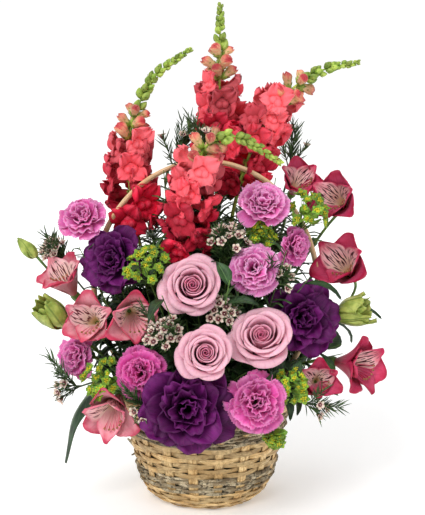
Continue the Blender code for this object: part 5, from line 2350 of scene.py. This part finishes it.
@dataclass
class Greenery:
    """Leafy tips pushed into the foam, which hide it and fill the heart of the arrangement."""

    tips: int = 64
    root_height: float = 116 * MM
    root_radius: float = 52 * MM
    reach: tuple[float, float] = (72 * MM, 190 * MM)  # length of the lowest and of the upright tips
    pitch: float = 7.5 * MM
    back: float = 122 * MM  # how far back the leaves reach
    leaf_reach: int = 46  # room that a leaf needs, in millimetres at full size
    blades: int = 60  # narrow-leaved tips that stand among the tall stems
    shortest: int = 12  # points that a cut-back stalk must still have to be kept
    blade_reach: tuple[float, float] = (262 * MM, 185 * MM)  # length of the inner and of the outer ones

    def build(self) -> None:
        """Builds both kinds of tip."""
        self.build_blades()
        self.build_tips()

    def foot(self, outward: np.ndarray, share: float) -> np.ndarray:
        """Where a tip goes into the foam: the first in the middle, the last by the wall."""
        return outward * self.root_radius * math.sqrt(share) + UP * self.root_height

    @staticmethod
    def places(line: Grid, count: int) -> list[np.ndarray]:
        """Evenly spread points up a stalk, the first just above its foot."""
        return [line[2 + int((len(line) - 3) * step / count)] for step in range(count)]

    def build_blades(self) -> None:
        """Builds the narrow-leaved tips: a thin stalk each, with a brush of blades up its length."""
        draw, stalks = chance("blades"), Growth()
        stand = Stand([
            leaf_shape(34 * MM, 4.6 * MM, 30, "blade_a", (4, 3)),
            leaf_shape(26 * MM, 4.0 * MM, 60, "blade_b", (4, 3)),
        ])
        for number in range(self.blades):
            share = (number + 0.5) / self.blades
            angle = number * GOLDEN_TURN
            outward = np.array((math.cos(angle), 0.75 * math.sin(angle), 0.0))
            start = self.foot(outward, share)
            grows = unit(outward * 0.52 * share + UP)
            length = (
                self.blade_reach[0] + (self.blade_reach[1] - self.blade_reach[0]) * share
            ) * draw.uniform(0.8, 1)
            middle = start + grows * 0.5 * length + outward * 4 * MM
            line = smooth_line(np.array((start, middle, start + grows * length)), 24)
            free = [Flower.clear(point) and Snapdragon.shows(point) for point in line]
            line = line[: free.index(False)] if False in free else line
            if len(line) < self.shortest:
                continue
            length *= len(line) / len(free)
            stalks.tube(line, np.linspace(1.1, 0.5, len(line)) * MM, 5, draw.random())
            steps = int(length / (3.6 * MM))
            for here in self.places(line, steps):
                aside = across(grows, draw)
                way = unit(grows * draw.uniform(0.8, 1.5) + aside)
                tip = here + way * 24 * MM
                if Flower.clear(here, tip) and Snapdragon.shows(tip):
                    stand.add(
                        here, way, aside, draw.uniform(0.7, 1.0), draw.randrange(2),
                        draw.uniform(0.1, 1.0)
                    )
        fit(stand.piece("greenery_blades", (NEEDLE,)), "dark_leaf")
        fit(stalks.piece("greenery_blade_stalks", (STALK,)), "dark_leaf")

    def build_tips(self) -> None:
        """Builds the leafy tips: a thin stalk each, with leaves all the way up."""
        draw, stalks = chance("greenery"), Growth()
        stand = Stand([
            leaf_shape(44 * MM, 19 * MM, 44, "green_a"),
            leaf_shape(50 * MM, 15 * MM, 60, "green_b"),
            leaf_shape(36 * MM, 20 * MM, 30, "green_c"),
        ])
        for number in range(self.tips):
            share = (number + 0.5) / self.tips
            angle = number * GOLDEN_TURN
            outward = spoke(angle)
            lift = math.cos(share * math.radians(82))
            grows = unit(outward * math.sin(share * math.radians(82)) + UP * (lift + 0.12))
            start = self.foot(outward, share)
            length = (self.reach[0] + (self.reach[1] - self.reach[0]) * lift) * draw.uniform(0.75, 1.0)
            while length > 20 * MM and (
                not Flower.clear(start + grows * length) or (start + grows * length)[1] > self.back - 22 * MM
            ):
                length -= 8 * MM
            end = start + grows * length - UP * 0.10 * length * share
            line = smooth_line(
                np.array((start - grows * 6 * MM, (start + end) / 2 + UP * 0.06 * length, end)), 10
            )
            stalks.tube(line, np.linspace(1.2, 0.5, len(line)) * MM, 5, draw.random())
            steps = int(length / self.pitch)
            for here in self.places(line, steps):
                aside = across(grows, draw)
                way, size = unit(grows * draw.uniform(0.5, 1.1) + aside), draw.uniform(0.55, 1.0)
                far = here + way * self.leaf_reach * MM * size
                if far[1] < self.back and Flower.clear(here, here + way * 24 * MM * size, far):
                    stand.add(here, way, aside, size, draw.randrange(3), draw.uniform(0.0, 0.8))
        fit(stand.piece("greenery_leaves", (FILLER_LEAF,)), "dark_leaf")
        fit(stalks.piece("greenery_stalks", (STALK,)), "dark_leaf")


def arrangement() -> list:
    """Every cut stem, kind by kind, with what sets each apart from its kind."""
    roses = [Rose("rose_upper"), Rose("rose_right"), Rose("rose_lower")]
    lisianthus = [
        Lisianthus("lisianthus_left"),
        Lisianthus("lisianthus_right"),
        Lisianthus("lisianthus_front", fullness=1.2),
        LisianthusBud("lisianthus_bud_closed"),
        LisianthusBud("lisianthus_bud_left", open_share=0.7),
        LisianthusBud("lisianthus_bud_right", open_share=1.0),
    ]
    magenta = {
        "top_left": 0.25, "top_right": 0.1, "centre": 0.0, "right": 0.35, "low_left": 0.3,
        "low_centre": 0.6, "low_right": 0.45,
    }
    carnations = [Carnation(f"carnation_{place}", magenta=share) for place, share in magenta.items()]
    crimson = ("top_right", "top_back", "right", "low_right", "low_inner")
    pink = ("left", "mid_left", "inner_left", "low_left")
    alstroemerias = [Alstroemeria(f"alstroemeria_{place}", tint=Tint.CRIMSON) for place in crimson]
    alstroemerias += [Alstroemeria(f"alstroemeria_{place}", tint=Tint.PINK) for place in pink]
    snapdragons = [Snapdragon(f"snapdragon_{place}") for place in ("left", "centre", "right", "front")]
    few = {
        "low_right": 3, "low_left": 4, "low_front": 2, "right": 4, "back_left": 2, "back_right": 1,
        "top": 8,
    }
    waxflowers = [
        Waxflower(f"waxflower_{place}", branches=few.get(place, 14), shoots=4 if "back" in place else 2)
        for place in (
            "centre", "inner", "left", "top", "right", "low_right", "low_left", "low_front",
            "far_left", "back_left", "back_right",
        )
    ]
    full = {"right": 1.4, "centre": 1.2}
    bupleurums = [
        Bupleurum(f"bupleurum_{place}", fullness=full.get(place, 1.0))
        for place in ("left", "right", "centre", "low_left", "low_right", "trailing")
    ]
    backs = ("left", "right", "high", "low", "low_left", "low_right")
    leaves = [LongLeaf("leaf_low_left"), *(LeafySpray(f"leaf_back_{place}") for place in backs)]
    return [
        *roses, *lisianthus, *carnations, *alstroemerias, *snapdragons, *waxflowers, *bupleurums, *leaves,
        Greenery(),
    ]


# --------------------------------------------------------------------------------------------------
# The studio


@dataclass(frozen=True)
class FloorFinish(Finish):
    """A plain pale floor."""

    colour: Colour = (1.0, 1.0, 1.0)

    def surface(self, pad: NodePad) -> tuple[object, object, float]:
        """One pale colour with hardly any grain."""
        place = pad.add("ShaderNodeTexCoord").outputs["Object"]
        grain = pad.noise(place, 30.0)
        share = pad.fade(grain, 0.4, 0.6, 0.0, 0.02)
        return pad.mix(share, black(self.colour), black((0.7, 0.7, 0.7))), grain, 0.0001


@dataclass(frozen=True)
class Lamp:
    """One soft light: where it stands, how large it is and how strong.

    A sun is as strong everywhere, so it lights the whole floor alike; its size is its angle in degrees.
    """

    name: str
    place: tuple[float, float, float]
    size: float
    power: float
    kind: str = "AREA"


@dataclass
class Studio:
    """The floor, the soft lights and the camera."""

    floor_size: float = 60.0
    floor_colour: Colour = (0.93, 0.93, 0.93)
    eye: tuple = (0.007, -1.5, 0.60)
    looks_at: tuple = (0.007, 0.0, 0.260)
    lit_point: tuple = (0, 0, 0.25)
    lens: float = 102.3
    air: float = 0.56  # how strongly the white surroundings light the piece
    backdrop: float = 1.02  # how bright they look
    lamps = (
        Lamp("key_light", (-0.9, -1.5, 1.9), 26.0, 1.55, "SUN"),
        Lamp("fill_light", (1.4, -1.3, 0.9), 1.4, 6.0),
        Lamp("top_light", (0.1, 0.3, 1.9), 1.4, 6.0),
        Lamp("back_light", (-0.6, 1.6, 1.0), 1.2, 8.0),
    )

    def build(self) -> None:
        """Makes the studio."""
        self.build_floor()
        for lamp in self.lamps:
            light = bpy.data.lights.new(lamp.name, lamp.kind)
            light.energy = lamp.power
            if lamp.kind == "SUN":
                light.angle = math.radians(lamp.size)
            else:
                light.size = lamp.size
            self.aim(bpy.data.objects.new(lamp.name, light), lamp.place, self.lit_point)
        world = bpy.data.worlds.new("studio_air")
        world.use_nodes = True
        pad = NodePad(world.node_tree)
        seen = pad.add("ShaderNodeLightPath").outputs["Is Camera Ray"]
        strength = pad.fade(seen, 0, 1, self.air, self.backdrop)
        air = pad.add("ShaderNodeBackground", Color=black((1.0, 1.0, 1.0)), Strength=strength)
        pad.add("ShaderNodeOutputWorld", Surface=air.outputs[0])
        bpy.context.scene.world = world
        bpy.context.scene.view_settings.view_transform = "Standard"
        camera = bpy.data.cameras.new("camera")
        camera.lens = self.lens
        viewer = bpy.data.objects.new("camera", camera)
        self.aim(viewer, self.eye, self.looks_at)
        bpy.context.scene.camera = viewer

    def build_floor(self) -> None:
        """Makes the floor."""
        half = self.floor_size / 2
        mesh = bpy.data.meshes.new("floor")
        mesh.from_pydata(
            [(-half, -half, 0), (half, -half, 0), (half, half, 0), (-half, half, 0)], [], [(0, 1, 2, 3)]
        )
        mesh.materials.append(
            FloorFinish("pale_floor", 0.8, 0.1, glow=0.22, colour=self.floor_colour).material()
        )
        floor = bpy.data.objects.new("floor", mesh)
        bpy.context.scene.collection.objects.link(floor)

    @staticmethod
    def aim(holder: bpy.types.Object, place: tuple, target: tuple) -> None:
        """Puts a light or the camera in its place and turns it to a target.

        Args:
            holder: the light's or camera's object.
            place: where it stands.
            target: the point that it faces.
        """
        holder.location = place
        holder.rotation_euler = (Vector(target) - Vector(place)).to_track_quat("-Z", "Y").to_euler()
        bpy.context.scene.collection.objects.link(holder)


def main() -> None:
    """Builds every sub-assembly in order, then the studio."""
    logging.basicConfig(level=logging.INFO, format="%(message)s")
    Basket().build()
    for member in arrangement():
        member.build()
    Studio().build()


if __name__ == "__main__":
    main()
